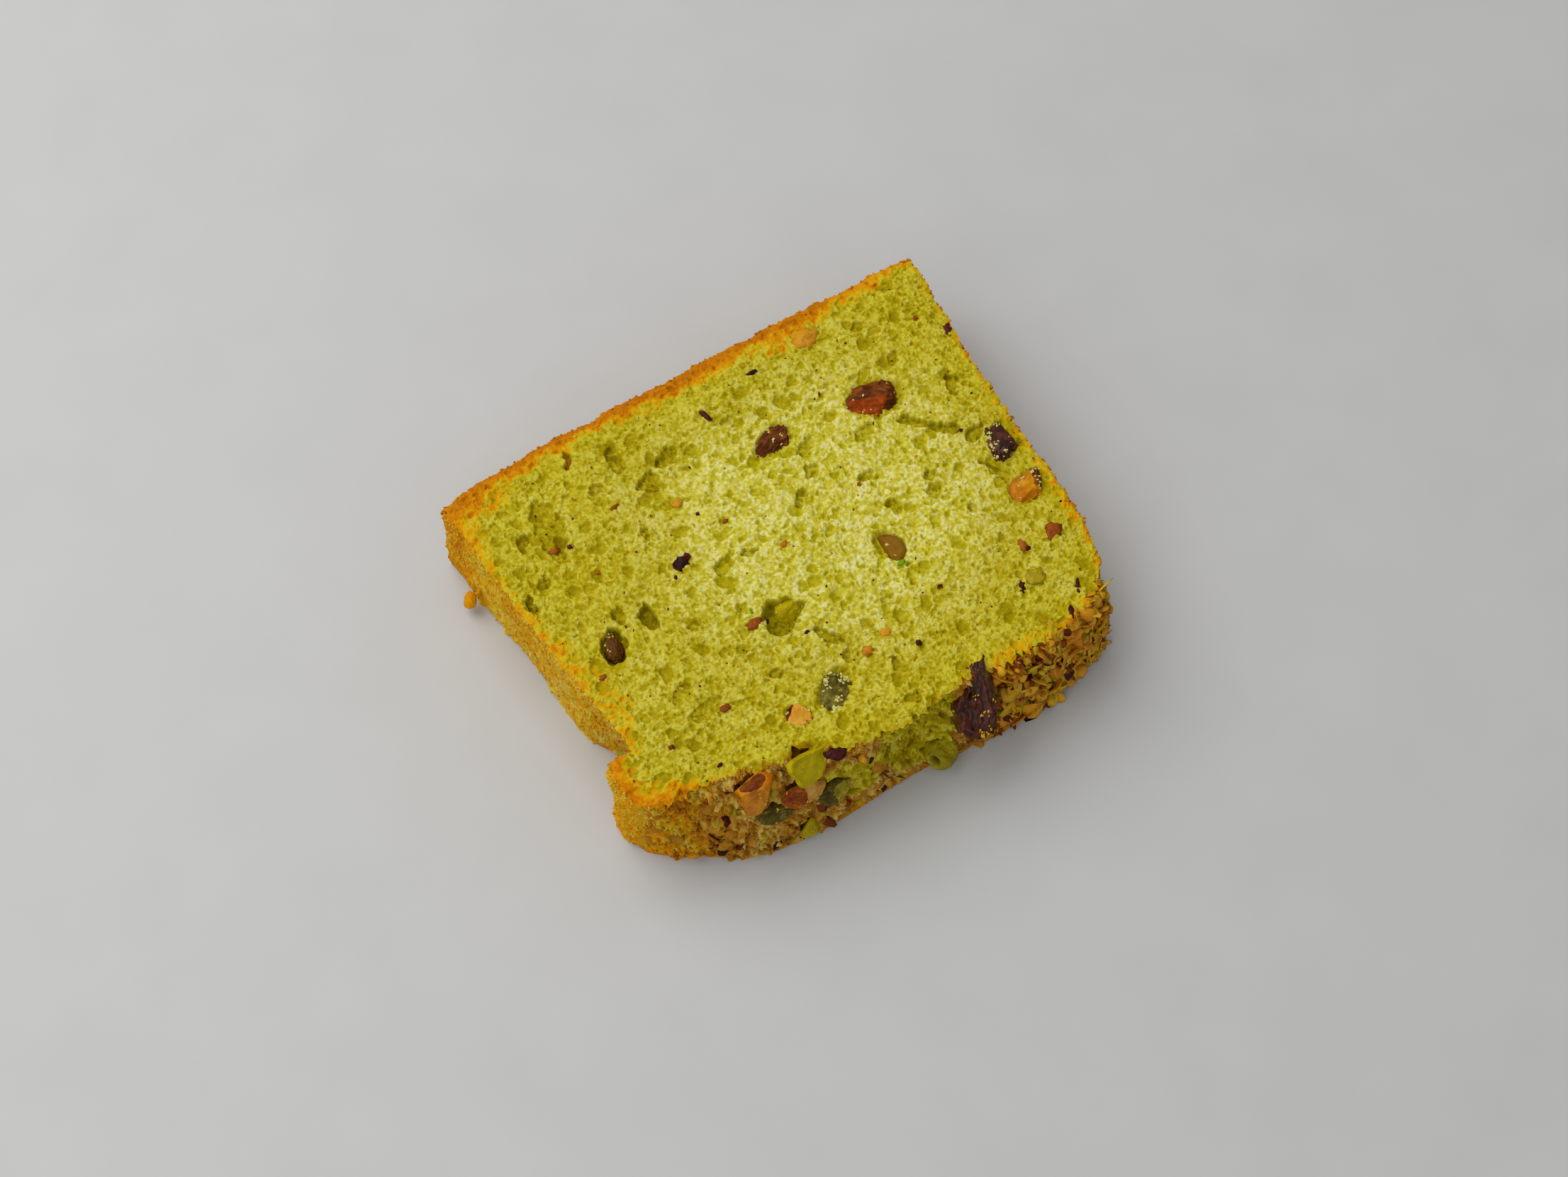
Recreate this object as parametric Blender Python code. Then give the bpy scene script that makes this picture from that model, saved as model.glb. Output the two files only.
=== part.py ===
"""A slice of pistachio loaf cake lying on its cut face.

+Z runs through the thickness of the slice. +X runs along the edge that stood on the floor of the
tin, and -Y points to the domed top of the loaf, which is strewn with chopped nuts. The origin is
on the lower cut face, on which the slice lies. Sizes are in millimetres until MM turns them into
metres.
"""

import math
import random

import bmesh
import bpy
import numpy as np
from mathutils import Euler, Vector, noise

MM = 0.001

# Driving dimensions of the slice
THICKNESS = 18.0
BASE_LENGTH = 90.0
REAR_Y = 36.0
DOME_CURVE = 1.7  # how late the wall leans in on its way up; 1 is a straight lean

# The torn patch of the dome, where the crust came away: middle along X and in height, the half sizes
# of its outline, and its depth. It lies only where the wall's outward direction points to the dome.
TORN_MIDDLE = (-1.5, 9.5)
TORN_HALF = (6.5, 8.0)
TORN_DEPTH = 2.6
DOME_SIDE = -0.7

# The grid of the upper cut face, and the rings of the wall below it
CELLS_ALONG = 42
CELLS_ACROSS = 38
WALL_LEVELS = (16.4, 12.6, 7.6, 2.2, 0.0)
CALM_CELLS = 2  # the cut face's relief grows from nothing over this many cells from the rim

# Roughness of the crust and of the crumb
RAGGED = 0.34
RAGGED_WAVE = 3.4
CRUMB_SWELL = 0.42
CRUMB_WAVE = 7.5
CRUMB_GRAIN = 0.20
GRAIN_WAVE = 2.6
GRAIN_OFFSET = 9.0  # keeps the grain's noise apart from the swell's

# Kernels: faces round and along each, the pocket's gap, how much narrower the pointed end is, how far
# a fully broken side is cut back and how flat it stays, and the lumps' height and number
NUT_SLICES = 12
NUT_RINGS = 7
NUT_GAP = 0.32
NUT_NARROWING = 0.22
BROKEN_CUT = 0.55
BROKEN_FLATNESS = 0.12
NUT_LUMP = 0.07
NUT_LUMP_RATE = 1.7

# Chopped nuts: how many lie on the dome, their reach and shape, and how they lie
BIT_COUNT = 46
BIT_SMALLEST = 0.75
BIT_LARGEST = 1.75
BIT_WIDTHS = (0.6, 0.9)
BIT_HEIGHTS = (0.4, 0.7)
BIT_LOWEST = 2.2
BIT_BELOW_EDGE = 1.0
BIT_OUTWARDS = 0.15
BIT_SINK = 0.2
BIT_SPACING = 0.95
BIT_CLEARANCE = 0.9
BITS_FULL_FROM_X = 12.0
BITS_SPARSE = 0.35
BARE_MIDDLE_X = -1.5
BARE_HALF = 7.0
PLACE_SEED = 41
SHAPE_SEED = 17

OUTLINE_STEP = 0.004  # share of a wall between the points that give its direction

HALF_BASE = BASE_LENGTH / 2

# The wall round the slice, in stations: a point of the upper cut face's edge, then the point of the
# lower face's edge under it. The left wall has the crease under the dome's lip.
REAR_WALL = [
    ((-HALF_BASE, REAR_Y), (-HALF_BASE - 0.3, REAR_Y + 0.9)),
    ((-37.0, REAR_Y + 1.0), (-37.0, REAR_Y + 1.6)),
    ((-24.0, REAR_Y + 1.3), (-24.0, REAR_Y + 1.9)),
    ((-2.0, REAR_Y + 1.2), (-2.0, REAR_Y + 1.8)),
    ((20.0, REAR_Y + 1.0), (20.0, REAR_Y + 1.5)),
    ((35.0, REAR_Y + 0.4), (35.0, REAR_Y + 0.9)),
    ((HALF_BASE, REAR_Y), (HALF_BASE + 0.2, REAR_Y + 0.4)),
]
RIGHT_WALL = [
    ((HALF_BASE, REAR_Y), (HALF_BASE + 0.2, REAR_Y + 0.4)),
    ((44.2, 28.0), (44.8, 28.0)),
    ((42.6, 18.0), (43.3, 18.0)),
    ((41.2, 6.0), (42.0, 6.0)),
    ((40.5, -6.0), (41.3, -6.0)),
    ((39.9, -17.0), (41.0, -17.0)),
    ((38.5, -24.2), (39.8, -24.8)),
    ((35.6, -30.8), (37.0, -31.4)),
]
DOME_WALL = [
    ((-44.0, -25.8), (-44.9, -24.6)),
    ((-41.4, -26.8), (-41.8, -27.2)),
    ((-35.4, -26.9), (-37.3, -30.2)),
    ((-29.6, -27.9), (-32.5, -33.4)),
    ((-23.3, -30.0), (-26.5, -35.2)),
    ((-18.0, -30.6), (-20.5, -35.9)),
    ((-13.5, -33.8), (-14.0, -36.0)),
    ((-8.0, -34.6), (-7.0, -35.9)),
    ((-1.0, -35.6), (0.0, -36.2)),
    ((4.5, -34.6), (6.0, -36.9)),
    ((9.5, -33.8), (12.0, -37.9)),
    ((15.8, -35.0), (18.0, -37.4)),
    ((22.7, -34.8), (24.3, -37.3)),
    ((28.9, -34.3), (29.8, -35.9)),
    ((32.6, -33.2), (34.2, -34.3)),
    ((35.6, -30.8), (37.0, -31.4)),
]
LEFT_WALL = [
    ((-HALF_BASE, REAR_Y), (-HALF_BASE - 0.3, REAR_Y + 0.9)),
    ((-43.8, 30.0), (-44.7, 31.0)),
    ((-43.6, 22.0), (-44.0, 23.0)),
    ((-43.2, 12.0), (-43.1, 14.0)),
    ((-42.8, 4.0), (-42.9, 5.0)),
    ((-42.1, -4.0), (-42.4, -3.0)),
    ((-41.2, -10.0), (-40.4, -6.8)),
    ((-41.0, -14.5), (-38.1, -10.0)),
    ((-41.7, -16.4), (-37.6, -13.0)),
    ((-43.7, -16.0), (-41.0, -14.2)),
    ((-45.5, -16.9), (-44.4, -15.6)),
    ((-45.9, -19.2), (-45.9, -17.8)),
    ((-45.6, -22.2), (-46.3, -20.6)),
    ((-44.0, -25.8), (-44.9, -24.6)),
]

# The lip's edge runs along the grid's rows, so the rows start from this guide line, one point for
# each station of the left wall, and swing to the true wall over the fade length.
ROW_STARTS = [point for point, _ in LEFT_WALL[:6]] + [
    (-41.4, -9.5),
    (-41.4, -13.2),
    (-41.9, -15.8),
    (-42.6, -17.8),
    (-43.2, -19.4),
    (-43.6, -21.0),
    (-43.9, -23.0),
    (-44.0, -25.8),
]
ROW_FADE = 2.0

# Holes of the upper cut face: middle x and y, half length, half width, depth, turn in degrees.
# The first lies round a kernel deep in the crumb, and the last three are the torn fissure.
HOLES = [
    (-9.5, -9.0, 4.1, 3.4, 3.6, 60.0),
    (-34.4, -0.6, 4.2, 2.8, 2.2, 70.0),
    (-27.2, 1.6, 2.9, 1.7, 2.4, 80.0),
    (-16.9, 29.2, 3.0, 1.9, 1.6, 75.0),
    (-14.3, 22.5, 2.6, 2.2, 1.8, 20.0),
    (-9.4, 25.0, 2.8, 1.8, 1.9, 20.0),
    (-32.2, 23.2, 6.5, 2.3, 1.3, 80.0),
    (-36.8, 23.6, 1.9, 1.2, 1.7, 75.0),
    (-12.4, 2.9, 2.6, 1.8, 1.4, 10.0),
    (-5.8, -15.9, 2.7, 1.6, 1.6, -60.0),
    (15.6, -2.4, 2.2, 1.6, 1.4, 50.0),
    (23.2, -2.2, 1.7, 2.6, 1.5, 10.0),
    (26.8, 8.6, 3.4, 1.8, 2.5, -40.0),
    (30.0, 5.0, 3.8, 1.9, 2.7, -35.0),
    (34.6, 1.6, 2.2, 1.9, 2.0, 30.0),
]

# Small pieces of nut and skin that show on the cut face: middle x and y, and reach.
FACE_BITS = [
    (-17.8, 7.0, 1.3),
    (24.3, -25.4, 1.1),
    (27.2, -25.0, 1.6),
    (28.6, -19.5, 1.2),
    (34.0, -19.8, 1.8),
    (10.3, 30.6, 1.1),
    (-23.2, 32.6, 1.4),
    (18.6, 30.2, 1.0),
    (-2.0, -21.6, 1.0),
    (-14.2, -8.4, 1.1),
    (28.2, -33.0, 1.1),
]

# Kernels and large pieces of nut: middle, half sizes, turn in degrees about X, Y and Z, how sharp
# the broken side is (0 whole, 1 cut flat), and the height above which the knife took the rest.
WHOLE = THICKNESS + 3.0
NUTS = {
    "kernel_brown_large": ((24.6, 15.9, 16.2), (5.6, 4.1, 3.0), (0, 8, -16), 0.5, WHOLE, "skin"),
    "kernel_brown_mid": ((6.4, 17.9, 16.4), (4.4, 2.7, 2.4), (0, 0, 22), 0.4, WHOLE, "skin"),
    "kernel_edge_dark": ((38.0, -1.6, 16.1), (3.8, 2.6, 2.4), (0, 10, 60), 0.3, WHOLE, "skin"),
    "kernel_edge_orange": ((35.9, -11.2, 16.4), (4.1, 2.6, 2.3), (0, 0, 8), 0.6, WHOLE, "amber"),
    "kernel_mid_olive": ((11.2, -8.0, 15.9), (3.4, 2.2, 2.6), (0, 0, -75), 0.3, 18.3, "olive"),
    "kernel_pit_brown": ((-34.6, -0.6, 15.6), (3.0, 1.7, 1.8), (0, 0, 72), 0.1, WHOLE, "olive"),
    "kernel_pit_olive": ((-8.8, -8.8, 14.4), (3.0, 2.4, 2.0), (0, 0, 60), 0.2, WHOLE, "olive"),
    "kernel_grey_green": ((-9.3, -24.1, 16.2), (4.3, 2.8, 2.3), (0, 0, 30), 0.2, WHOLE, "grey"),
    "kernel_peach": ((-16.8, -24.9, 16.9), (2.4, 1.7, 1.5), (0, 0, -40), 0.5, WHOLE, "amber"),
    "kernel_dome_dark": ((9.9, -34.0, 12.1), (6.7, 4.5, 2.9), (68, 26, -90), 0.3, WHOLE, "skin"),
    "kernel_dome_green": ((2.4, -36.6, 3.3), (2.9, 2.8, 2.8), (0, 0, 0), 0.1, WHOLE, "green"),
    "kernel_amber": ((-28.3, -30.0, 14.3), (3.3, 2.6, 3.7), (20, 0, 10), 0.6, WHOLE, "amber"),
    "kernel_half_green": ((-19.7, -31.6, 16.0), (3.9, 2.6, 1.5), (46, 22, 4), 0.9, WHOLE, "green"),
    "kernel_cream": ((-21.9, -33.4, 11.9), (3.3, 1.7, 1.5), (30, 10, 0), 0.7, WHOLE, "amber"),
    "kernel_dark_green": ((-16.8, -35.1, 8.9), (3.1, 1.9, 2.1), (0, -14, 6), 0.2, WHOLE, "green"),
    "kernel_low_dark": ((-26.3, -33.2, 9.2), (3.1, 1.8, 1.7), (0, 6, -8), 0.2, WHOLE, "grey"),
    "kernel_wedge": ((-21.8, -35.8, 2.4), (2.1, 1.6, 1.6), (20, 0, 30), 0.8, WHOLE, "green"),
}

FINISHES = {
    "crumb": ((0.50, 0.47, 0.06), 0.75),
    "skin": ((0.12, 0.035, 0.012), 0.42),
    "amber": ((0.36, 0.13, 0.012), 0.38),
    "olive": ((0.20, 0.13, 0.012), 0.45),
    "grey": ((0.15, 0.13, 0.04), 0.60),
    "green": ((0.24, 0.24, 0.015), 0.40),
}


def clear_scene():
    for obj in list(bpy.data.objects):
        bpy.data.objects.remove(obj, do_unlink=True)


def finish_material(name):
    """The finish's one material, made the first time that it is asked for."""
    if name in bpy.data.materials:
        return bpy.data.materials[name]
    colour, roughness = FINISHES[name]
    material = bpy.data.materials.new(name)
    material.use_nodes = True
    shader = material.node_tree.nodes["Principled BSDF"]
    shader.inputs["Base Color"].default_value = (*colour, 1.0)
    shader.inputs["Roughness"].default_value = roughness
    shader.inputs["Metallic"].default_value = 0.0
    material.diffuse_color = (*colour, 1.0)
    return material


def mesh_object(name, shape, finish, collection=None):
    """An object from a bmesh in millimetres."""
    bmesh.ops.scale(shape, vec=(MM, MM, MM), verts=shape.verts)
    bmesh.ops.recalc_face_normals(shape, faces=shape.faces)
    mesh = bpy.data.meshes.new(name)
    shape.to_mesh(mesh)
    shape.free()
    obj = bpy.data.objects.new(name, mesh)
    mesh.materials.append(finish_material(finish))
    (collection or bpy.context.scene.collection).objects.link(obj)
    return obj


class Wall:
    """One side of the slice: a smooth curve through its stations, at any height."""

    def __init__(self, stations):
        self.points = np.array(stations, float).reshape(len(stations), 4)
        steps = np.linalg.norm(np.diff(self.points[:, :2], axis=0), axis=1)
        by_length = np.concatenate([[0.0], np.cumsum(steps)]) / steps.sum()
        by_count = np.linspace(0.0, 1.0, len(stations))
        self.knots = (by_length + by_count) / 2
        self.slopes = np.gradient(self.points, self.knots, axis=0)

    def at(self, share, height):
        """The point at this share of the way along, by cubic pieces between the stations."""
        last = len(self.knots) - 2
        i = min(max(int(np.searchsorted(self.knots, share, side="right")) - 1, 0), last)
        span = self.knots[i + 1] - self.knots[i]
        t = (share - self.knots[i]) / span
        point = (
            (1 + 2 * t) * (1 - t) ** 2 * self.points[i]
            + t * (1 - t) ** 2 * span * self.slopes[i]
            + t * t * (3 - 2 * t) * self.points[i + 1]
            + t * t * (t - 1) * span * self.slopes[i + 1]
        )
        lean = (height / THICKNESS) ** DOME_CURVE
        return point[2:] + (point[:2] - point[2:]) * lean


WALLS = {
    "rear": Wall(REAR_WALL),
    "right": Wall(RIGHT_WALL),
    "dome": Wall(DOME_WALL),
    "left": Wall(LEFT_WALL),
}


def row_start(across):
    """The point of the guide line from which this row starts."""
    starts = np.array(ROW_STARTS)
    knots = WALLS["left"].knots
    return np.array([np.interp(across, knots, starts[:, 0]), np.interp(across, knots, starts[:, 1])])


def plan_point(along, across, height):
    """A point of the slice's plan at this height: the four walls blended over the unit square."""
    rear = WALLS["rear"].at(along, height)
    dome = WALLS["dome"].at(along, height)
    left = row_start(across)
    right = WALLS["right"].at(across, height)
    corners = (
        (1 - along) * (1 - across) * WALLS["rear"].at(0.0, height)
        + along * (1 - across) * WALLS["rear"].at(1.0, height)
        + (1 - along) * across * WALLS["dome"].at(0.0, height)
        + along * across * WALLS["dome"].at(1.0, height)
    )
    blend = (1 - across) * rear + across * dome + (1 - along) * left + along * right - corners
    swing = math.exp(-along * BASE_LENGTH / ROW_FADE)
    return blend + (WALLS["left"].at(across, height) - left) * swing


def hole_depth(x, y):
    """How far the holes take the cut face down here: each is a bowl that fades to its rim."""
    deepest = 0.0
    for middle_x, middle_y, half_length, half_width, depth, turn in HOLES:
        angle = math.radians(turn)
        along = (x - middle_x) * math.cos(angle) + (y - middle_y) * math.sin(angle)
        across = (y - middle_y) * math.cos(angle) - (x - middle_x) * math.sin(angle)
        reach = (along / half_length) ** 2 + (across / half_width) ** 2
        if reach < 1.0:
            deepest = max(deepest, depth * (1 - reach * reach))
    return deepest


def crumb_height(x, y, inset):
    """Height of the upper cut face: a soft swell and a grain that die out at the rim, less the holes."""
    swell = CRUMB_SWELL * noise.noise(Vector((x, y, 0.0)) / CRUMB_WAVE)
    grain = CRUMB_GRAIN * noise.noise(Vector((x, y, GRAIN_OFFSET)) / GRAIN_WAVE)
    return THICKNESS + (swell + grain) * inset - hole_depth(x, y) * inset


def torn_dent(x, height):
    """How far in the torn patch of the dome lies: a shallow scoop where the crust came away."""
    along = (x - TORN_MIDDLE[0]) / TORN_HALF[0]
    up = (height - TORN_MIDDLE[1]) / TORN_HALF[1]
    return TORN_DEPTH * max(0.0, 1 - (along**2 + up**2))


def ragged_shift(point, height, outward):
    """The crust's raggedness, a shift along the outward direction."""
    amount = RAGGED * noise.noise(Vector((point[0], point[1], height)) / RAGGED_WAVE)
    if outward[1] < DOME_SIDE:
        amount -= torn_dent(point[0], height)
    return outward * amount


def outward_at(along, across, height):
    """Unit direction out of the slice, from the plan's points just beside this one of its outline."""
    near = []
    for step in (-OUTLINE_STEP, OUTLINE_STEP):
        if across in (0.0, 1.0):
            near.append(plan_point(min(max(along + step, 0), 1), across, height))
        else:
            near.append(plan_point(along, min(max(across + step, 0), 1), height))
    tangent = near[1] - near[0]
    normal = np.array([tangent[1], -tangent[0]]) / np.linalg.norm(tangent)
    towards_rim = plan_point(along, across, height) - plan_point(0.5, 0.5, height)
    return normal if normal @ towards_rim > 0 else -normal


def build_cake():
    """The slice as one closed body: a cut face on a grid, rings down the wall, and a flat underside."""
    shape = bmesh.new()
    bmesh.ops.create_grid(shape, x_segments=CELLS_ALONG, y_segments=CELLS_ACROSS, size=1.0)
    unit = {}
    for vert in shape.verts:
        unit[vert] = ((vert.co.x + 1) / 2, (1 - vert.co.y) / 2)
    ring = [edge for edge in shape.edges if edge.is_boundary]
    rim = {vert for edge in ring for vert in edge.verts}

    for vert, (along, across) in unit.items():
        x, y = plan_point(along, across, THICKNESS)
        if vert in rim:
            shift = ragged_shift((x, y), THICKNESS, outward_at(along, across, THICKNESS))
            vert.co = (x + shift[0], y + shift[1], THICKNESS)
        else:
            nearest = CELLS_ALONG * min(along, 1 - along, across, 1 - across)
            inset = min(1.0, nearest / CALM_CELLS)
            vert.co = (x, y, crumb_height(x, y, inset))

    for height in WALL_LEVELS:
        made = bmesh.ops.extrude_edge_only(shape, edges=ring)["geom"]
        lower = [item for item in made if isinstance(item, bmesh.types.BMVert)]
        uppers = {}
        for vert in lower:
            upper = next(
                edge.other_vert(vert) for edge in vert.link_edges if edge.other_vert(vert) in rim
            )
            uppers[vert] = upper
        for vert, upper in uppers.items():
            along, across = unit[upper]
            unit[vert] = (along, across)
            x, y = plan_point(along, across, height)
            shift = ragged_shift((x, y), height, outward_at(along, across, height))
            vert.co = (x + shift[0], y + shift[1], height)
        rim = set(lower)
        ring = [edge for edge in shape.edges if edge.is_boundary]

    bmesh.ops.contextual_create(shape, geom=ring)
    return mesh_object("cake_slice", shape, "crumb")


def nut_shape(half, turn, broken, middle, top, grow=0.0):
    """A kernel: an egg-ended ball with a broken side, turned, set in place and cut at the knife's height."""
    shape = bmesh.new()
    bmesh.ops.create_uvsphere(shape, u_segments=NUT_SLICES, v_segments=NUT_RINGS, radius=1.0)
    rotation = Euler([math.radians(value) for value in turn]).to_matrix()
    sizes = Vector(half) + Vector((grow, grow, grow))
    flat = 1 - broken * BROKEN_CUT
    for vert in shape.verts:
        spot = vert.co.copy()
        spot.x, spot.z = spot.z, -spot.x
        narrowing = 1 - NUT_NARROWING * spot.x
        spot.y *= narrowing
        spot.z *= narrowing
        if spot.y > flat:
            spot.y = flat + (spot.y - flat) * BROKEN_FLATNESS
        lump = 1 + NUT_LUMP * noise.noise(spot * NUT_LUMP_RATE + Vector(middle))
        placed = rotation @ Vector([spot[i] * sizes[i] * lump for i in range(3)]) + Vector(middle)
        placed.z = min(placed.z, top + grow)
        vert.co = placed
    return shape


def build_nuts(pockets):
    """The kernels, and beside each a helper a little larger that will cut its pocket."""
    for name, (middle, half, turn, broken, top, finish) in NUTS.items():
        mesh_object(name, nut_shape(half, turn, broken, middle, top), finish)
        cutter = mesh_object(
            name + "_pocket",
            nut_shape(half, turn, broken, middle, top, grow=NUT_GAP),
            finish,
            pockets,
        )
        cutter.hide_render = True
        cutter.display_type = "WIRE"


def clear_of_nuts(spot, reach):
    """Whether a ball here keeps its distance from every kernel."""
    for middle, half, *_ in NUTS.values():
        if math.dist(spot, middle) < max(half) + reach + BIT_CLEARANCE:
            return False
    return True


def bit_places():
    """Spots for the chopped nuts: spread by a seeded draw over the dome, more on its right end."""
    draw = random.Random(PLACE_SEED)
    places = []
    while len(places) < BIT_COUNT:
        share = draw.random()
        height = draw.uniform(BIT_LOWEST, THICKNESS - BIT_BELOW_EDGE)
        reach = draw.uniform(BIT_SMALLEST, BIT_LARGEST)
        x, y = WALLS["dome"].at(share, height)
        share_kept = 1.0 if x >= BITS_FULL_FROM_X else BITS_SPARSE
        if draw.random() > share_kept or abs(x - BARE_MIDDLE_X) < BARE_HALF:
            continue
        spot = (x, y - BIT_OUTWARDS, height)
        apart = all(
            math.dist(spot, other) > (reach + size) * BIT_SPACING for other, size in places
        )
        if apart and clear_of_nuts(spot, reach):
            places.append((spot, reach))
    places += [((x, y, THICKNESS - BIT_SINK), reach) for x, y, reach in FACE_BITS]
    return places


def build_bits(bits):
    """Chopped nuts: little many-sided lumps, half sunk in the dome."""
    draw = random.Random(SHAPE_SEED)
    for number, (spot, reach) in enumerate(bit_places()):
        shape = bmesh.new()
        bmesh.ops.create_icosphere(shape, subdivisions=1, radius=1.0)
        turn = Euler([draw.uniform(0, math.tau) for _ in range(3)]).to_matrix()
        width = reach * draw.uniform(*BIT_WIDTHS)
        sizes = Vector((reach, width, reach * draw.uniform(*BIT_HEIGHTS)))
        for vert in shape.verts:
            vert.co = turn @ Vector([vert.co[i] * sizes[i] for i in range(3)]) + Vector(spot)
        mesh_object(f"bit_{number:02d}", shape, "crumb", bits)


def join_bits(cake, bits):
    """The chopped nuts become one body with the slice, and their own objects go."""
    union = cake.modifiers.new("fused nuts", "BOOLEAN")
    union.operation = "UNION"
    union.operand_type = "COLLECTION"
    union.collection = bits
    graph = bpy.context.evaluated_depsgraph_get()
    joined = bpy.data.meshes.new_from_object(cake.evaluated_get(graph), depsgraph=graph)
    cake.modifiers.remove(union)
    cake.data = joined
    for obj in list(bits.objects):
        bpy.data.objects.remove(obj, do_unlink=True)
    bpy.data.collections.remove(bits)


def cut_pockets(cake, pockets):
    """Room for each kernel, so that its solid stands clear of the crumb."""
    cut = cake.modifiers.new("nut pockets", "BOOLEAN")
    cut.operation = "DIFFERENCE"
    cut.operand_type = "COLLECTION"
    cut.collection = pockets


def new_collection(name):
    collection = bpy.data.collections.new(name)
    bpy.context.scene.collection.children.link(collection)
    return collection


def main():
    clear_scene()
    cake = build_cake()
    bits = new_collection("chopped nuts")
    build_bits(bits)
    join_bits(cake, bits)
    pockets = new_collection("pockets")
    build_nuts(pockets)
    cut_pockets(cake, pockets)


main()
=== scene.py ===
# A slice of pistachio loaf cake, lying on its cut face on a pale floor.
# Shapes are worked out in millimetres in the model's own frame and put into meshes in metres.
import math
import random

import bpy
import numpy as np
from mathutils import Matrix


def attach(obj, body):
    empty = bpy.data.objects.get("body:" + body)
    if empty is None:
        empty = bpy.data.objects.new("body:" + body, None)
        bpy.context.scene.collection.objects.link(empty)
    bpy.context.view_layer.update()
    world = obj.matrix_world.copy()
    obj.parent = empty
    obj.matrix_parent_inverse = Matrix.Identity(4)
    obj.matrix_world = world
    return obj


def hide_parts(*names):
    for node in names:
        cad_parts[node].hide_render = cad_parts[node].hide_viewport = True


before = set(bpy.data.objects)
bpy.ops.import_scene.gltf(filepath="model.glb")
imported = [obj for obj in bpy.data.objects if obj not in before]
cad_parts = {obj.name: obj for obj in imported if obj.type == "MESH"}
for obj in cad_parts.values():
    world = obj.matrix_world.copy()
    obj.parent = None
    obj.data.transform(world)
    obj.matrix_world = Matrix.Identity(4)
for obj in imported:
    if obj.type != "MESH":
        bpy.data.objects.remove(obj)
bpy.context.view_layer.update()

scene = bpy.context.scene
mm = 0.001
print("frame loaded:", len(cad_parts), "nodes")


# noise on whole arrays
def hashed(i, j, k, seed):
    # whole-number cell -> an even draw from 0 to 1: the indices are multiplied, summed and bit-mixed
    n = (i * 374761393 + j * 668265263 + k * 1442695041 + seed * 1274126177) & 0xFFFFFFFF
    n = ((n ^ (n >> 13)) * 1274126177) & 0xFFFFFFFF
    return ((n ^ (n >> 16)) & 0xFFFFFF) / 16777215.0


def softNoise(x, y, z, wave, seed):
    # -1 to 1: the draws at the 8 corners of a cell, blended along each axis by 6t^5 - 15t^4 + 10t^3
    x, y, z = np.broadcast_arrays(x, y, z)
    cells = [np.floor(axis / wave).astype(np.int64) for axis in (x, y, z)]
    tx, ty, tz = (axis / wave - cell for axis, cell in zip((x, y, z), cells))
    tx, ty, tz = (t * t * t * (t * (t * 6 - 15) + 10) for t in (tx, ty, tz))
    total = 0.0
    for a, wx in ((0, 1 - tx), (1, tx)):
        for b, wy in ((0, 1 - ty), (1, ty)):
            for c, wz in ((0, 1 - tz), (1, tz)):
                total = total + wx * wy * wz * hashed(cells[0] + a, cells[1] + b, cells[2] + c, seed)
    return total * 2 - 1


def layeredNoise(x, y, z, wave, seed, layers=3):
    # noise plus halves of itself at half the wave, brought back to about -1 to 1
    total, size = 0.0, 0.0
    for layer in range(layers):
        total = total + softNoise(x, y, z, wave / 2 ** layer, seed + layer) / 2 ** layer
        size += 1 / 2 ** layer
    return total / size * 1.35


def bowls(u, v, cell, small, large, share, seed, edge=2.6):
    # one bowl to a cell at most: 1 - reach^edge inside its turned ellipse, the deepest where they meet
    iu, iv = np.floor(u / cell).astype(np.int64), np.floor(v / cell).astype(np.int64)
    deepest = np.zeros(np.shape(u))
    for du in (-1, 0, 1):
        for dv in (-1, 0, 1):
            cu, cv = iu + du, iv + dv
            pick = [hashed(cu, cv, slot, seed) for slot in range(6)]
            size = small + (large - small) * pick[2] ** 2
            angle = pick[3] * math.pi
            longer = 1 + 0.7 * pick[4]
            offU = u - (cu + 0.1 + 0.8 * pick[0]) * cell
            offV = v - (cv + 0.1 + 0.8 * pick[1]) * cell
            along = (offU * np.cos(angle) + offV * np.sin(angle)) / longer
            across = offV * np.cos(angle) - offU * np.sin(angle)
            reach = np.sqrt(along ** 2 + across ** 2) / size
            bowl = np.clip(1 - reach ** edge, 0, 1) * (0.45 + 0.55 * size / large)
            deepest = np.maximum(deepest, bowl * (pick[5] < share))
    return deepest


def easeStep(low, high, value):
    # 0 below low, 1 above high, and 3t^2 - 2t^3 between
    t = np.clip((value - low) / (high - low), 0, 1)
    return t * t * (3 - 2 * t)


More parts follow.
